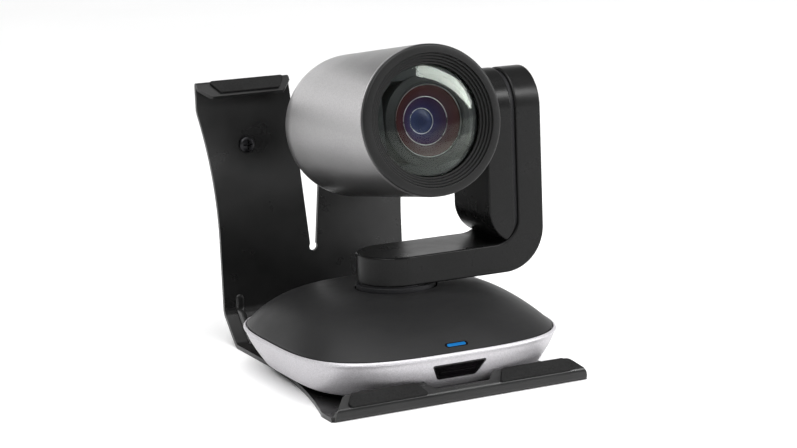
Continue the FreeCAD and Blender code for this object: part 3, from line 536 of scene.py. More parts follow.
SLOT_FINISH = {
    "black_steel": BLACK_STEEL, "rubber": RUBBER, "dark_screw": DARK_SCREW, "steel": STEEL,
    "silver_paint": SILVER, "charcoal_plastic": CHARCOAL, "black_plastic": MATTE_BLACK, "brass": BRASS,
    "smoked_plastic": SMOKED, "component_black": COMPONENT, "blue_light": BLUE_LIGHT,
    "circuit_board": BOARD, "zinc_steel": ZINC, "gear_plastic": GEAR_WHITE, "satin_black": ARM_BLACK,
    "bezel_black": BEZEL_BLACK, "clear_glass": CLEAR, "coated_glass": CELL_RED,
}


def dress_frame():
    """Every carried-over CAD node takes the finish of its record slot."""
    for part in frame["record"]["subparts"]:
        mesh_owner = frame["nodes"][part["node"]]
        mesh_owner.data.materials.clear()
        mesh_owner.data.materials.append(SLOT_FINISH[part["material_slot"]])


# ---------------------------------------------------------------- the mount
def left_of(points, distance):
    """The open line shifted to its left by a distance, with mitred corners."""
    shifted = []
    for number, point in enumerate(points):
        directions = []
        if number > 0:
            directions.append((point - points[number - 1]).normalized())
        if number < len(points) - 1:
            directions.append((points[number + 1] - point).normalized())
        normals = [Vector((-d.y, d.x)) for d in directions]
        mean = sum(normals, Vector((0, 0))).normalized()
        shifted.append(point + mean * distance / max(mean.dot(normals[0]), 0.2))
    return shifted


WAIST, EAR = 48.9, 57.2           # half widths
WAIST_FRONT, WAIST_TOP = 44, 53    # the straight waist runs from here on the bottom plate to here on the back
LIP_SIDE, EAR_SIDE = -53, 115      # where the concave sides become straight again
LIP_BOW, EAR_BOW = 3.4, 1.9        # depth of the concave sides
SHEET_CORNER = 1.6                 # corner radius at both ends of the sheet
NOTCH, NOTCH_DEEP, NOTCH_FLARE = 13.0, 4.6, 4.0
SLOT_FOOT, SLOT_HOLE = 42.6, 2.2
SLOT_LOW, SLOT_HIGH = 1.6, 9.6
EAR_CHAMFER, SLOT_CHAMFER = 6.2, 5.5
TAB_HALF, LIP_TAPER = 56.6, 1.4
TAB_LENGTH, TAB_SLOPE = 8.0, math.radians(38.4)
LIP_LEAN, LIP_WALL = 1.3, 5.2
FLANGE_SLOPE, FLANGE_LIP, FLANGE_FOOT = math.radians(43), 86.7, 122.9
FACET = 15.5
RIB_ACROSS, RIB_TOP = 40.8, 23.5
SCREW_ACROSS, SCREW_HEIGHT = 32.9, 97.3
PAD = 1.2
MITRE = SHEET * math.tan(math.radians(22.5))


def mount_path():
    """Outer side of the folded sheet as (y, z) corners, from the tab's end to the flange's end."""
    front = LIP_FRONT + LIP_LEAN
    rise = math.tan(FLANGE_SLOPE) * (PLATE_REAR - FLANGE_LIP)
    return [Vector(p) for p in (
        (LIP_FRONT + TAB_LENGTH * math.cos(TAB_SLOPE), LIP_WALL + TAB_LENGTH * math.sin(TAB_SLOPE)),
        (LIP_FRONT, LIP_WALL), (front, 0), (PLATE_REAR - FACET + MITRE, 0), (PLATE_REAR, FACET - MITRE),
        (PLATE_REAR, FLANGE_FOOT + rise), (FLANGE_LIP, FLANGE_FOOT))]


def concave(start, end, bow, share):
    """A value going from start to end along a shallow arc that bows by a given depth."""
    return start + (end - start) * share - bow * 4 * share * (1 - share)


def on_flange(y):
    """How far a place on the folded ears is from the upper bend, from 0 to 1."""
    bend = PLATE_REAR - 4
    return max((bend - y) / (bend - FLANGE_LIP), 0)


def outer_half(y, z, station, total):
    """Half width of the sheet at a place on its line."""
    if z < FACET and y < 60:
        if station < TAB_LENGTH + 1:
            share = max(1 - station / TAB_LENGTH, 0)
            half = LIP_HALF - LIP_TAPER - (LIP_HALF - TAB_HALF) * share
        elif y < LIP_SIDE:
            half = LIP_HALF - LIP_TAPER * max(0, (-y - 60) / 6) if z > 1.2 else LIP_HALF
        elif y < WAIST_FRONT:
            half = concave(LIP_HALF, WAIST, LIP_BOW, (y - LIP_SIDE) / (WAIST_FRONT - LIP_SIDE))
        else:
            half = WAIST
    elif z < WAIST_TOP:
        half = WAIST
    elif z < EAR_SIDE:
        half = concave(WAIST, EAR, EAR_BOW, (z - WAIST_TOP) / (EAR_SIDE - WAIST_TOP))
    else:
        half = EAR
    if z > 100:
        half -= EAR_CHAMFER * on_flange(y)
    for distance in (station, total - station):
        if distance < SHEET_CORNER:
            half -= SHEET_CORNER - math.sqrt(max(SHEET_CORNER ** 2 - (SHEET_CORNER - distance) ** 2, 0))
    return half


def inner_half(y, z, station):
    """Half width of the opening in the sheet's middle: the notch, the slot and the gap between the ears."""
    if station < NOTCH_DEEP:
        return NOTCH + NOTCH_FLARE * (NOTCH_DEEP - station) / NOTCH_DEEP
    if z < SLOT_FOOT - SLOT_HOLE or y < PLATE_REAR - 20:
        return 0
    wide = SLOT_LOW + (SLOT_HIGH - SLOT_LOW) * (z - SLOT_FOOT) / (FLANGE_TOP - SLOT_FOOT)
    if on_flange(y) > 0:
        wide = SLOT_HIGH + SLOT_CHAMFER * on_flange(y)
    hole = math.sqrt(max(SLOT_HOLE ** 2 - (z - SLOT_FOOT) ** 2, 0))
    if z < SLOT_FOOT:
        return hole
    return max(wide, hole)


def stations(line, total):
    """Places along the line: every bend point, an even spread, and close steps at ends and the hole."""
    lengths = running(line)
    wanted = set(round(v, 3) for v in lengths)
    wanted |= {round(total * n / 150, 3) for n in range(151)}
    for near in (0.0, 0.06, 0.2, 0.4, 0.7, 1.1, 1.6):
        wanted |= {round(near, 3), round(total - near, 3)}
    wanted.add(NOTCH_DEEP)
    foot = next(l + SLOT_FOOT - p.y for p, l in zip(line, lengths) if p.x > 94 and 14 < p.y < 30)
    wanted |= {round(foot + 0.2 * n, 3) for n in range(-11, 12)}
    ordered = sorted(wanted)
    kept = [ordered[0]]
    for value in ordered[1:]:
        if value - kept[-1] > 0.03:
            kept.append(value)
    return lengths, kept


def running(line):
    """Distances from the start of a line to its points."""
    lengths = [0]
    for a, b in zip(line, line[1:]):
        lengths.append(lengths[-1] + (b - a).length)
    return lengths


def point_at(line, lengths, station):
    """The point of a line at a distance along it."""
    for number in range(1, len(line)):
        if station <= lengths[number] or number == len(line) - 1:
            share = (station - lengths[number - 1]) / (lengths[number] - lengths[number - 1])
            return line[number - 1].lerp(line[number], share)


def build_bracket():
    """One folded sheet: rows of points across it, laid along the rounded side line, then thickened."""
    middle = left_of(mount_path(), SHEET / 2)
    bend_radii = (1.6, 2.0, 6.0, 6.0, 0.7)
    bends = [(*p, r) for p, r in zip(middle[1:-1], bend_radii)]
    line = open_path([tuple(middle[0])] + bends + [tuple(middle[-1])])
    total = sum((b - a).length for a, b in zip(line, line[1:]))
    lengths, places = stations(line, total)
    bm = bmesh.new()
    across = 6
    for side in (-1, 1):
        for block in ("edge", "middle"):
            rows = []
            for station in places:
                y, z = point_at(line, lengths, station)
                gap = inner_half(y, z, station)
                if station < NOTCH_DEEP:
                    if block == "middle":
                        continue
                    split = gap
                else:
                    split = NOTCH + 8 * min(max((y + 40) / 100, 0), 1)
                low, high = (split, outer_half(y, z, station, total)) if block == "edge" else (gap, split)
                rows.append([bm.verts.new((side * (low + (high - low) * n / across), y, z))
                             for n in range(across + 1)])
            skin(bm, rows, closed=False)
    bmesh.ops.remove_doubles(bm, verts=bm.verts, dist=1e-3)
    bracket = to_object("mount_sheet", bm)
    thick = bracket.modifiers.new("thick", "SOLIDIFY")
    thick.thickness = SHEET * MM
    thick.offset = 0
    thick.use_even_offset = True
    settle(bracket)
    combine(bracket, upright("recess_tool", [(-2, 7.6), (SHEET + 2, 7.6)]))
    soften(bracket, 0.4, 2, 55)
    finish_piece(bracket, "base", BLACK_STEEL, "black_steel", "bracket")
    foot, bore, outer = SHEET * 0.6, 3.4, 9.5
    ring = [(foot, bore), (foot, outer), (BASE_LOW, outer), (BASE_LOW, bore)]
    boss = upright("mount_boss", ring, loop=True)
    finish_piece(soften(boss, 0.3, 2), "base", BLACK_STEEL, "black_steel")


def build_ribs():
    """Two embossed ribs that stiffen the rear bend; each is a low rounded ridge along the sheet."""
    inner = PLATE_REAR - SHEET
    side = open_path([(inner, RIB_TOP), (inner, FACET, 5), (inner - FACET + SHEET, SHEET, 5),
                      (inner - FACET - 9, SHEET)])
    lengths = running(side)
    total, half, steps, round_steps = lengths[-1], 2.2, 60, 10
    for number, x in enumerate((-RIB_ACROSS, RIB_ACROSS)):
        bm = bmesh.new()
        rows = []
        for step in range(steps + 1):
            share = step / steps
            station = total * (0.5 - 0.5 * math.cos(math.pi * share))
            here = point_at(side, lengths, station)
            ahead = point_at(side, lengths, min(station + 0.2, total))
            back = point_at(side, lengths, max(station - 0.2, 0))
            along = (ahead - back).normalized()
            up = Vector((along.y, -along.x)) * -1
            if up.x > 0:
                up = -up
            end = min(station, total - station, half) / half
            swell = math.sqrt(max(1 - (1 - end) ** 2, 0.0004))
            row = []
            for turn in range(round_steps + 1):
                angle = math.pi * turn / round_steps
                rise = here + up * (1.15 * swell * math.sin(angle) ** 0.7 - 0.15)
                row.append(bm.verts.new((x + half * swell * math.cos(angle), rise.x, rise.y)))
            rows.append(row)
        skin(bm, rows, closed=False)
        for row in (rows[0], rows[-1]):
            bm.faces.new(row)
        for a, b in zip(rows, rows[1:]):
            bm.faces.new((a[0], b[0], b[-1], a[-1]))
        rib = smooth(to_object(f"mount_rib_{number + 1}", bm), 60)
        finish_piece(rib, "base", BLACK_STEEL, "black_steel")


def sloped(piece, y, z, slope):
    """Turns a flat piece up by a slope about X and moves it to its place."""
    piece.data.transform(Matrix.Translation((0, y * MM, z * MM)) @ Matrix.Rotation(slope, 4, "X"))
    return piece


def build_mount_pads():
    """Rubber pads with rounded corners on the lip's tabs and on the folded ears."""
    lip = [(NOTCH + 4.4, 0.7, 0.8), (TAB_HALF, 0.7, 2.0), (TAB_HALF - 4.8, TAB_LENGTH - 0.2, 1.6),
           (NOTCH + 8.0, TAB_LENGTH - 0.2, 3.0)]
    ear = [(SLOT_HIGH + 7.2, 1.5, 1.0), (EAR - 10.4, 1.5, 1.0), (EAR - 5.8, 9.0, 1.2),
           (SLOT_HIGH + 2.2, 9.0, 1.2)]
    for name, node, outline, y, z, slope in (
            ("lip_pad", "lip_pads", lip, LIP_FRONT, LIP_WALL, TAB_SLOPE),
            ("ear_pad", "flange_pads", ear, FLANGE_LIP, FLANGE_FOOT, FLANGE_SLOPE)):
        for number, side in enumerate((-1, 1)):
            shape = [(side * p.x, p.y) for p in fillet(outline)]
            slab = soften(prism(f"{name}_{number + 1}", shape, "Z", -0.2, PAD), 0.35, 3)
            finish_piece(sloped(slab, y, z, slope), "base", RUBBER, "rubber", node)


def build_wall_screws():
    """Pan-head screws with a cross recess, and their shanks behind the plate."""
    face, height = PLATE_REAR - SHEET, SCREW_HEIGHT
    tip = span("wall_screws", 1)[1]
    for number, x in enumerate((-SCREW_ACROSS, SCREW_ACROSS)):
        head = [(0.2, 4.1), (-1.0, 4.1), (-1.7, 3.75), (-2.2, 3.0), (-2.5, 1.9), (-2.6, 0.6)]
        shank = [(tip - face, 0.7), (tip - face - 1.2, 2.0), (0.2, 2.0)]
        rings = [[(x + a, face + y, height + b) for a, b in circle(radius, 48)] for y, radius in shank + head]
        screw = loft(f"wall_screw_{number + 1}", rings)
        for wide, high in ((4.8, 1.0), (1.0, 4.8)):
            cross = [(x - wide / 2, height - high / 2), (x + wide / 2, height - high / 2),
                     (x + wide / 2, height + high / 2), (x - wide / 2, height + high / 2)]
            combine(screw, prism("cross_tool", cross, "Y", face - 4, face - 1.2))
        smooth(screw, 30)
        finish_piece(screw, "base", DARK_SCREW, "dark_screw", "wall_screws")


# ---------------------------------------------------------------- the base
AROUND = 192
SHELL_WALL = 2.2


def squarish(half, height, power=RIM_POWER):
    """Points of a superelliptic ring; height may be a number or a function of the angle."""
    ring = []
    for c, s in circle(1, AROUND):
        level = height(s) if callable(height) else height
        ring.append((half * math.copysign(abs(c) ** (2 / power), c),
                     half * math.copysign(abs(s) ** (2 / power), s), level))
    return ring


def side_half(z):
    """Half width of the silver side at a height."""
    return BASE_HALF * (1 - 0.1334 * ((RIM - z) / 17.5) ** 1.386)


def rim_rings(*places):
    """Rings near the rim, each at a distance out from the side and down from the rim."""
    return [squarish(BASE_HALF + out, RIM - down) for out, down in places]


def build_base_shell():
    """Silver side: a bevelled rim, a side that draws in towards the bottom, and two openings."""
    rings = rim_rings((-0.95, 0.25), (-0.75, 0.12), (-0.45, 0.25), (0.05, 0.9), (0.12, 1.3), (-0.06, 1.75))
    levels, top = 14, RIM - 2.2
    for step in range(levels + 1):
        z = top - (top - BASE_LOW - 0.6) * step / levels
        rings.append(squarish(side_half(z), z))
    low = side_half(BASE_LOW)
    rings += [squarish(low - 0.3, BASE_LOW + 0.15), squarish(low - 0.8, BASE_LOW)]
    rings.append(squarish(low - SHELL_WALL, BASE_LOW))
    rings += [squarish(side_half(z) - SHELL_WALL, z) for z in (BASE_LOW + 3, 12, RIM - 3)]
    rings += rim_rings((-0.95, 2.4))
    shell = loft("base_side", rings, loop=True)
    window = fillet([(13.2, 17.1, 0.8), (-13.8, 17.1, 0.8), (-9.9, 9.4, 2.0), (8.9, 9.4, 2.0)])
    combine(shell, prism("window_tool", window, "Y", -75, -50))
    panel = fillet([(24, 8.5, 1.5), (24, 18.5, 1.5), (-24, 18.5, 1.5), (-24, 8.5, 1.5)])
    combine(shell, prism("panel_tool", panel, "Y", 50, 75))
    smooth(shell, 40)
    finish_piece(shell, "base", SILVER, "silver_paint", "base_shell")


def build_window():
    """Smoked window, leaning like the side around it, with a slim rib across."""
    def lean(piece):
        for vertex in piece.data.vertices:
            vertex.co.y += (side_half(16) - side_half(vertex.co.z / MM)) * MM
        return piece
    outline = fillet([(13.0, 16.9, 0.7), (-13.6, 16.9, 0.7), (-9.8, 9.6, 1.9), (8.8, 9.6, 1.9)])
    front = -side_half(16)
    frame_ring = prism("ir_window_frame", outline, "Y", front + 0.25, front + 2.6)
    inner = fillet([(12.1, 16.2, 0.5), (-12.7, 16.2, 0.5), (-9.3, 10.2, 1.4), (8.3, 10.2, 1.4)])
    combine(frame_ring, prism("frame_tool", inner, "Y", front - 2, front + 1.6))
    soften(lean(frame_ring), 0.15, 2)
    finish_piece(frame_ring, "base", SMOKED, "smoked_plastic", "ir_window")
    slim = fillet([(8.6, 12.2, 0.2), (-8.6, 12.2, 0.2), (-8.9, 12.8, 0.2), (8.9, 12.8, 0.2)])
    rib = prism("ir_window_rib", slim, "Y", front + 0.9, front + 1.7)
    finish_piece(soften(lean(rib), 0.12, 2), "base", SMOKED, "smoked_plastic")


def cover_ring(share, inset=0.0):
    """A ring of the domed cover: square-cornered at the rim, round at the hub, gentler in front."""
    power = 2 + (RIM_POWER - 2) * share ** 1.5

    def height(s):
        front = max(-s, 0) * min(max((share - 0.3) / 0.15, 0), 1)
        fall = DOME_FALL + (DOME_FALL_FRONT - DOME_FALL) * front
        return RIM + RISE * (1 - share ** fall) - inset
    return squarish((BASE_HALF - COVER_INSET) * share - inset, height, power)


def build_cover():
    """Domed cover as one closed shell with a throat for the pan collar and a slot for the light."""
    rings = rim_rings((-3.4, 1.6), (-1.9, 1.6), (-1.6, 0.6), (-1.45, 0.1))
    rings += [cover_ring(share) for share in (0.998, 0.985, 0.97, 0.95, 0.92, 0.89, 0.85, 0.81, 0.77, 0.72,
                                              0.67, 0.61, 0.55, 0.49, 0.43, 0.38, 0.34, 0.32)]
    throat = HUB_RADIUS + 0.5
    rings += [squarish(throat + 0.3, RIM + RISE - 0.1, 2), squarish(throat, RIM + RISE - 0.4, 2),
              squarish(throat, RIM + RISE - 2.2, 2)]
    rings += [cover_ring(share, 2.0) for share in (0.4, 0.6, 0.8, 0.94)]
    cover = loft("cover", rings, loop=True)
    combine(cover, prism("led_tool", pill(5.6, 1.35, LED_FRONT), "Z", RIM - 6, RIM + 12))
    smooth(cover, 40)
    finish_piece(cover, "base", CHARCOAL, "charcoal_plastic", "top_cover")


def pill(half, radius, y, steps=10):
    """A slot outline with round ends, centred on x = 0."""
    return (arc(half - radius, y, radius, -90, 90, steps)
            + arc(radius - half, y, radius, 90, 270, steps))


def on_cover(y):
    """Height of the cover's front centre line."""
    return RIM + RISE * (1 - (-y / (BASE_HALF - COVER_INSET)) ** DOME_FALL_FRONT)


def build_led():
    """Black surround and blue bar, both following the cover's slope."""
    def follow(piece):
        for vertex in piece.data.vertices:
            vertex.co.z += (on_cover(vertex.co.y / MM) - RIM) * MM
        return piece
    surround = prism("led_surround", pill(5.55, 1.3, LED_FRONT), "Z", RIM - 2.5, RIM - 0.15)
    finish_piece(soften(follow(surround), 0.15, 2), "base", SMOKED, "smoked_plastic")
    bar = prism("led_light", pill(4.5, 0.75, LED_FRONT), "Z", RIM - 2.0, RIM + 0.05)
    finish_piece(soften(follow(bar), 0.2, 3), "base", BLUE_LIGHT, "blue_light", "led_bar")


# ---------------------------------------------------------------- the arm
LIMB_TOP = 56.0
CROWN = ARM_TOP - ARM_DEPTH


def bow(start, end, radius, steps=12):
    """Points of a left-hand arc from start to end."""
    chord = end - start
    across = Vector((-chord.y, chord.x)).normalized()
    centre = (start + end) / 2 + across * math.sqrt(radius ** 2 - (chord.length / 2) ** 2)
    turn = 2 * math.asin(chord.length / 2 / radius)
    return [centre + Matrix.Rotation(turn * n / steps, 2) @ (start - centre) for n in range(steps + 1)]


def crown_outline(inset, low, steps=28):
    """Side view of the upright: straight sides and a round top."""
    radius = ARM_DEPTH - inset
    angles = [math.pi * n / steps for n in range(steps + 1)]
    top = [(radius * math.cos(a), CROWN + radius * math.sin(a)) for a in angles]
    return [(radius, low)] + top + [(-radius, low)]


def build_arm():
    """The bent arm with its groove, the drive case along its upright, and the collar it turns on."""
    above = ARM_TOP + 3
    front = fillet([(-25, ARM_LOW), (ARM_SIDE, ARM_LOW, 20), (ARM_SIDE, above), (SEAM_HIGH, above),
                    (SEAM_HIGH, LIMB_TOP, 12), (-25, LIMB_TOP)], 20)
    arm = prism("tilt_arm", front, "Y", -ARM_DEPTH, ARM_DEPTH)
    combine(arm, prism("side_tool", crown_outline(0, ARM_LOW - 3), "X", -40, 90), "INTERSECT")
    half_turn = [math.pi * n / 36 for n in range(1, 36)]
    plan = [(90, -ARM_DEPTH - 1), (90, ARM_DEPTH + 1), (0, ARM_DEPTH + 1), (0, ARM_DEPTH)]
    plan += [(-ARM_DEPTH * math.sin(a), ARM_DEPTH * math.cos(a)) for a in half_turn]
    plan += [(0, -ARM_DEPTH), (0, -ARM_DEPTH - 1)]
    combine(arm, prism("plan_tool", plan, "Z", 20, 160), "INTERSECT")
    soften(clean(arm), 0.9, 4, 40)
    finish_piece(arm, "arm", ARM_BLACK, "satin_black", "arm_frame")

    bend = LIMB_TOP + 12
    tip = Vector((POD_LOW + 8.4, LIMB_TOP + 1.5))
    outline = [(POD_LOW, above)] + bow(Vector((POD_LOW, bend + 5)), tip, 16)
    outline += bow(tip, Vector((POD_HIGH, bend)), 10) + [(POD_HIGH, above)]
    pod = prism("tilt_drive_case", outline, "Y", -ARM_DEPTH, ARM_DEPTH)
    combine(pod, prism("pod_side_tool", crown_outline(0, LIMB_TOP - 3), "X", 20, 90), "INTERSECT")
    soften(clean(pod), 0.8, 4, 40)
    finish_piece(pod, "arm", ARM_BLACK, "satin_black", "drive_housing")

    middle = Vector((SEAM_HIGH - 12, bend))
    band = arc(*middle, 9.7, -58, 0)
    band += [(POD_HIGH - 0.3, above), (SEAM_HIGH + 0.3, above)]
    band += arc(*middle, 12.3, 0, -58)
    seam = prism("arm_groove", band, "Y", -ARM_DEPTH, ARM_DEPTH)
    combine(seam, prism("seam_tool", crown_outline(1.3, LIMB_TOP - 3), "X", 20, 90), "INTERSECT")
    finish_piece(smooth(clean(seam)), "arm", MATTE_BLACK, "black_plastic", "arm_seam")

    outer, inner, foot = HUB_RADIUS, 12, 36
    collar = upright("pan_collar", [
        (foot, outer), (ARM_LOW - 0.9, outer), (ARM_LOW - 0.6, outer - 0.3), (ARM_LOW - 0.5, outer - 1.2),
        (ARM_LOW + 1, outer - 1.2), (ARM_LOW + 1, inner), (foot, inner)], loop=True, steps=128)
    finish_piece(smooth(collar), "arm", MATTE_BLACK, "black_plastic", "pan_hub")


# ---------------------------------------------------------------- the head
def build_head_shell():
    """Silver barrel with an egg-shaped rear and a shallow ring in its middle."""
    wall, rear_flat = 2.0, 14.2
    outline = [(SHELL_FACE, HEAD_RADIUS - wall), (SHELL_FACE, HEAD_RADIUS, 0.35),
               (HEAD_STRAIGHT, HEAD_RADIUS), (HEAD_STRAIGHT + 0.01, HEAD_RADIUS)]
    points = [tuple(p) for p in open_path(outline)]
    rear = [(HEAD_STRAIGHT + 22.6 * math.sin(a), rear_flat + (HEAD_RADIUS - rear_flat) * math.cos(a))
            for a in sweep(0, 90, 24)]
    rear += [(HEAD_REAR - 0.2, 13.0), (HEAD_REAR, 12.2), (HEAD_REAR, 9.4), (HEAD_REAR - 0.5, 9.0),
             (HEAD_REAR - 0.5, 7.8), (HEAD_REAR, 7.4), (HEAD_REAR, 0.0)]
    inside = [(58, 0.0), (58, 12), (55, 22), (48, 28), (HEAD_STRAIGHT, HEAD_RADIUS - wall)]
    shell = turned("head_cover", points + rear + inside, loop=True)
    finish_piece(tilted(smooth(shell, 30)), "head", HEAD_SILVER_PAINTED_SHADE, "silver_paint", "head_shell")


def build_bezel():
    """Black front ring that steps down to the lens in four grooved steps, and a matte black ring in the seam
    behind it as painted shade.
    """
    edge, steps, deep, wide_step = HEAD_RADIUS, 4, 0.925, 1.15
    outline = [(SHELL_FACE + 0.15, edge - 2), (SHELL_FACE + 0.15, edge - 0.25, 0.15), (BEZEL_FACE, edge, 1.1),
               (BEZEL_FACE, LENS_BORE + steps * wide_step, 0.2)]
    for step in range(1, steps + 1):
        depth, wide = BEZEL_FACE + deep * step, LENS_BORE + wide_step * (steps + 1 - step)
        outline += [(depth + 0.35, wide), (depth + 0.35, wide - 0.3), (depth, wide - 0.32, 0.05),
                    (depth, wide - wide_step, 0.2)]
    outline += [(-30.2, LENS_BORE), (-30.2, LENS_BORE + 1.8), (-39.2, LENS_BORE + 1.8), (-39.2, edge - 2)]
    bezel = turned("front_bezel_ring", [tuple(p) for p in fillet(outline, 4)], loop=True, steps=192)
    finish_piece(tilted(smooth(bezel, 30)), "head", BEZEL_BLACK, "bezel_black", "front_bezel")
    # painted shade: a matte black ring set into the seam between the silver shell and the bezel, in place of
    # the shadow there
    gap = turned("bezel_seam_painted_shade", [(SHELL_FACE - 0.2, edge - 2.4), (SHELL_FACE - 0.2, edge - 0.45),
                               (SHELL_FACE + 0.4, edge - 0.45), (SHELL_FACE + 0.4, edge - 2.4)], loop=True)
    finish_piece(tilted(smooth(gap)), "head", MATTE_BLACK, "black_plastic")


def domed_disc(name, face, radius, rise, thick, steps=10, power=2.0):
    """A glass disc whose front bulges by a rise in the middle."""
    front = [(face + rise * (step / steps) ** power, radius * step / steps) for step in range(steps + 1)]
    rim = [(face + rise + 0.25, radius + 0.12), (face + rise + thick, radius + 0.12)]
    back = [(y + thick, r) for y, r in reversed(front)]
    return turned(name, front + rim + back, loop=False)


def build_glass():
    """Front window, nearly flat in the middle and curved towards its edge."""
    glass = domed_disc("front_window", -44.4, LENS_BORE - 0.25, 3.6, 1.0, 28, 2.6)
    finish_piece(tilted(smooth(glass, 30)), "head", CLEAR, "clear_glass", "front_glass")


def build_baffle():
    """Funnel from the round opening down to a cut-cornered rectangle around the lens."""
    corners = [(19.2, 12.4), (14.0, 17.2), (-14.0, 17.2), (-19.2, 12.4), (-19.2, -12.4), (-14.0, -17.2),
               (14.0, -17.2), (19.2, -12.4)]

    def reach(angle, grow):
        """Distance to the cut-cornered outline in one direction."""
        direction = Vector((math.cos(angle), math.sin(angle)))
        best = 100.0
        for number, corner in enumerate(corners):
            a, b = Vector(corner), Vector(corners[(number + 1) % len(corners)])
            side = b - a
            across = direction.x * side.y - direction.y * side.x
            if abs(across) < 1e-9:
                continue
            t = (a.x * side.y - a.y * side.x) / across
            u = (a.x * direction.y - a.y * direction.x) / across
            if t > 0 and -1e-6 <= u <= 1 + 1e-6:
                best = min(best, t)
        return best * grow
    steps, round_radius = 240, LENS_BORE - 0.4
    rings = []
    for y, blend, grow in ((-39.4, 0, 1), (-38.9, 0, 1), (-38.6, 0.93, 1.06), (-35.4, 1, 1.0),
                           (-33.2, 1, 0.985), (-33.2, 1, 1.15), (-35.6, 0, 1)):
        ring = []
        for n in range(steps):
            angle = 2 * math.pi * n / steps
            radius = min((1 - blend) * round_radius + blend * reach(angle, grow), round_radius)
            ring.append((radius * math.cos(angle), y, radius * math.sin(angle)))
        rings.append(ring)
    funnel = loft("lens_baffle", rings, loop=True)
    finish_piece(tilted(smooth(funnel, 18)), "head", BAFFLE_BLACK, "black_plastic", "baffle")


def cell_ring(name, y, radius, material, slot_name, wide=0.45):
    """Thin bright edge of a lens cell."""
    outline = fillet([(y, radius - wide / 2, 0.1), (y - 0.35, radius, 0.15), (y, radius + wide / 2, 0.1),
                      (y + 0.5, radius)], 3)
    ring = turned(name, [tuple(p) for p in outline], loop=True)
    finish_piece(tilted(smooth(ring, 50)), "head", material, slot_name)


LENS_FORWARD = 6.9      # the lens sits this far ahead of the outlines below


def build_lens():
    """The front cell with its coated elements, just behind the window."""
    def cell(name, outline, material, *nodes):
        moved = [(y - LENS_FORWARD, radius) for y, radius in outline]
        slot_name = "black_plastic" if material is MATTE_BLACK else "coated_glass"
        finish_piece(tilted(smooth(turned(name, moved))), "head", material, slot_name, *nodes)
    holder = fillet([(-34.5, 16.1, 0.2), (-34.8, 17.3, 0.3), (-33.0, 20.4, 0.4), (-24.0, 20.4),
                     (-24.0, 16.1)], 4)
    cell("lens_cell", holder, MATTE_BLACK)
    cell("lens_inner_cone", [(-32.6, 15.6), (-31.6, 13.6), (-30.6, 11.6), (-30.2, 10.4), (-28.6, 10.4),
                             (-28.6, 15.95), (-32.6, 15.95)], CELL_RED, "front_element")
    cell("lens_second_cone", [(-30.1, 10.3), (-28.8, 8.6), (-27.2, 6.6), (-26.2, 5.6), (-24.4, 5.6),
                              (-24.4, 10.3)], CELL_BLUE)
    core = domed_disc("lens_core", -26.9 - LENS_FORWARD, 5.5, 1.0, 1.4)
    finish_piece(tilted(smooth(core, 30)), "head", CELL_CORE, "coated_glass")
    for name, y, radius, wide in (
            ("lens_edge_outer", -33.4, 15.8, 0.5), ("lens_edge_middle", -30.3, 10.55, 0.4),
            ("lens_edge_inner", -26.3, 5.6, 0.4)):
        cell_ring(name, y - LENS_FORWARD, radius, STEEL, "steel", wide)


# ---------------------------------------------------------------- studio
def put(name, data):
    """A light or camera object in the scene."""
    holder = bpy.data.objects.new(name, data)
    bpy.context.scene.collection.objects.link(holder)
    return holder


def area_light(name, place, target, width, height, power, roll=0.0):
    """A soft box in metres and watts, aimed at a target and rolled by some degrees."""
    lamp = bpy.data.lights.new(name, "AREA")
    lamp.shape = "RECTANGLE"
    lamp.size, lamp.size_y = width, height
    lamp.energy = power
    holder = put(name, lamp)
    holder.location = place
    direction = Vector(target) - Vector(place)
    turn = direction.to_track_quat("-Z", "Y").to_matrix() @ Matrix.Rotation(math.radians(roll), 3, "Z")
    holder.rotation_euler = turn.to_euler()


def light_backdrop(tree):
    """A dim room with a white sweep behind the object and a pale line where the floor ends."""
    def node(kind, *sources, **settings):
        made = add_node(tree, kind, settings)
        for number, source in enumerate(sources):
            tree.links.new(source, made.inputs[number])
        return made

    def share(source, start, end, low=0.0, high=1.0):
        made = node("MapRange", source)
        set_range(made, start, end, low, high)
        return made.outputs["Result"]
    direction = node("SeparateXYZ", node("TexCoord").outputs["Generated"])
    behind, height = share(direction.outputs["Y"], 0.1, 0.7), direction.outputs["Z"]
    sweep_share = node("Math", behind, share(height, 0.6, 0.25), operation="MULTIPLY")
    either = node("Math", sweep_share.outputs[0], share(height, 0.06, 0.03), operation="MAXIMUM")
    tree.links.new(share(either.outputs[0], 0.0, 1.0, 0.16, 1.0), tree.nodes["Background"].inputs["Strength"])


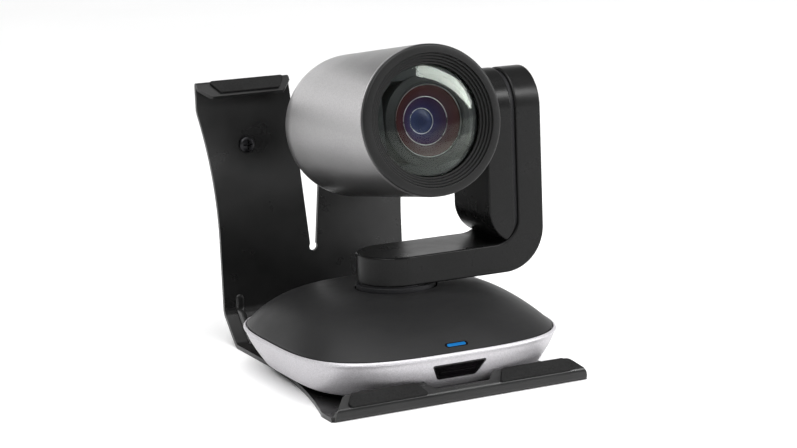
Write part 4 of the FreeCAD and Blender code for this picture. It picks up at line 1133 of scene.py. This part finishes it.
def build_studio():
    """Pale floor, white backdrop light, a broad overhead sun and three soft boxes."""
    bm = bmesh.new()
    bmesh.ops.create_circle(bm, cap_ends=True, segments=96, radius=9000)
    floor = to_object("floor", bm)
    f = Finish("floor_paper", (0.96, 0.96, 0.96), 0.7, Specular_IOR_Level=0.1)
    f.vary_colour(f.noise(3, 3), (0.98, 0.98, 0.98))
    floor.data.materials.append(f.material)
    world = bpy.data.worlds.new("studio")
    bpy.context.scene.world = world
    world.use_nodes = True
    world.node_tree.nodes["Background"].inputs["Color"].default_value = (1, 1, 1, 1)
    light_backdrop(world.node_tree)
    sun = bpy.data.lights.new("overhead_sun", "SUN")
    sun.energy = 2.55
    sun.angle = math.radians(60)
    put("overhead_sun", sun).rotation_euler = (math.radians(12), math.radians(-14), 0)
    area_light("key_left", (-0.85, -0.75, 1.0), (0, 0, 0.09), 0.6, 0.5, 5)
    area_light("top_box", (0.1, -0.25, 1.1), (0, 0, 0.06), 0.7, 0.4, 2)
    area_light("right_box", (0.80, -0.74, 0.66), (0, -0.04, 0.115), 1.0, 0.26, 14, -45)


def build_camera():
    """The photograph's viewpoint: turned about the object, a little above it, with a slight roll."""
    azimuth, elevation, roll = (math.radians(v) for v in (25.49, 10.83, -2.34))
    distance, aim = 0.94687, Vector((0.00262, 0, 0.06795))
    view = Vector((math.sin(azimuth) * math.cos(elevation), math.cos(azimuth) * math.cos(elevation),
                   -math.sin(elevation)))
    right = Vector((math.cos(azimuth), -math.sin(azimuth), 0))
    down = view.cross(right)
    side = right * math.cos(roll) - down * math.sin(roll)
    low = right * math.sin(roll) + down * math.cos(roll)
    data = bpy.data.cameras.new("camera")
    data.sensor_width = 36
    data.lens = 93.73
    data.clip_start = 0.01
    data.clip_end = 50
    holder = put("camera", data)
    turn = Matrix((side, -low, -view)).transposed()
    holder.matrix_world = Matrix.Translation(aim - view * distance) @ turn.to_4x4()
    bpy.context.scene.camera = holder


dress_frame()
build_bracket()
build_ribs()
build_mount_pads()
build_wall_screws()
build_base_shell()
build_window()
build_cover()
build_led()
build_arm()
build_head_shell()
build_bezel()
build_glass()
build_baffle()
build_lens()
build_studio()
build_camera()
bpy.context.scene.view_settings.view_transform = "Standard"
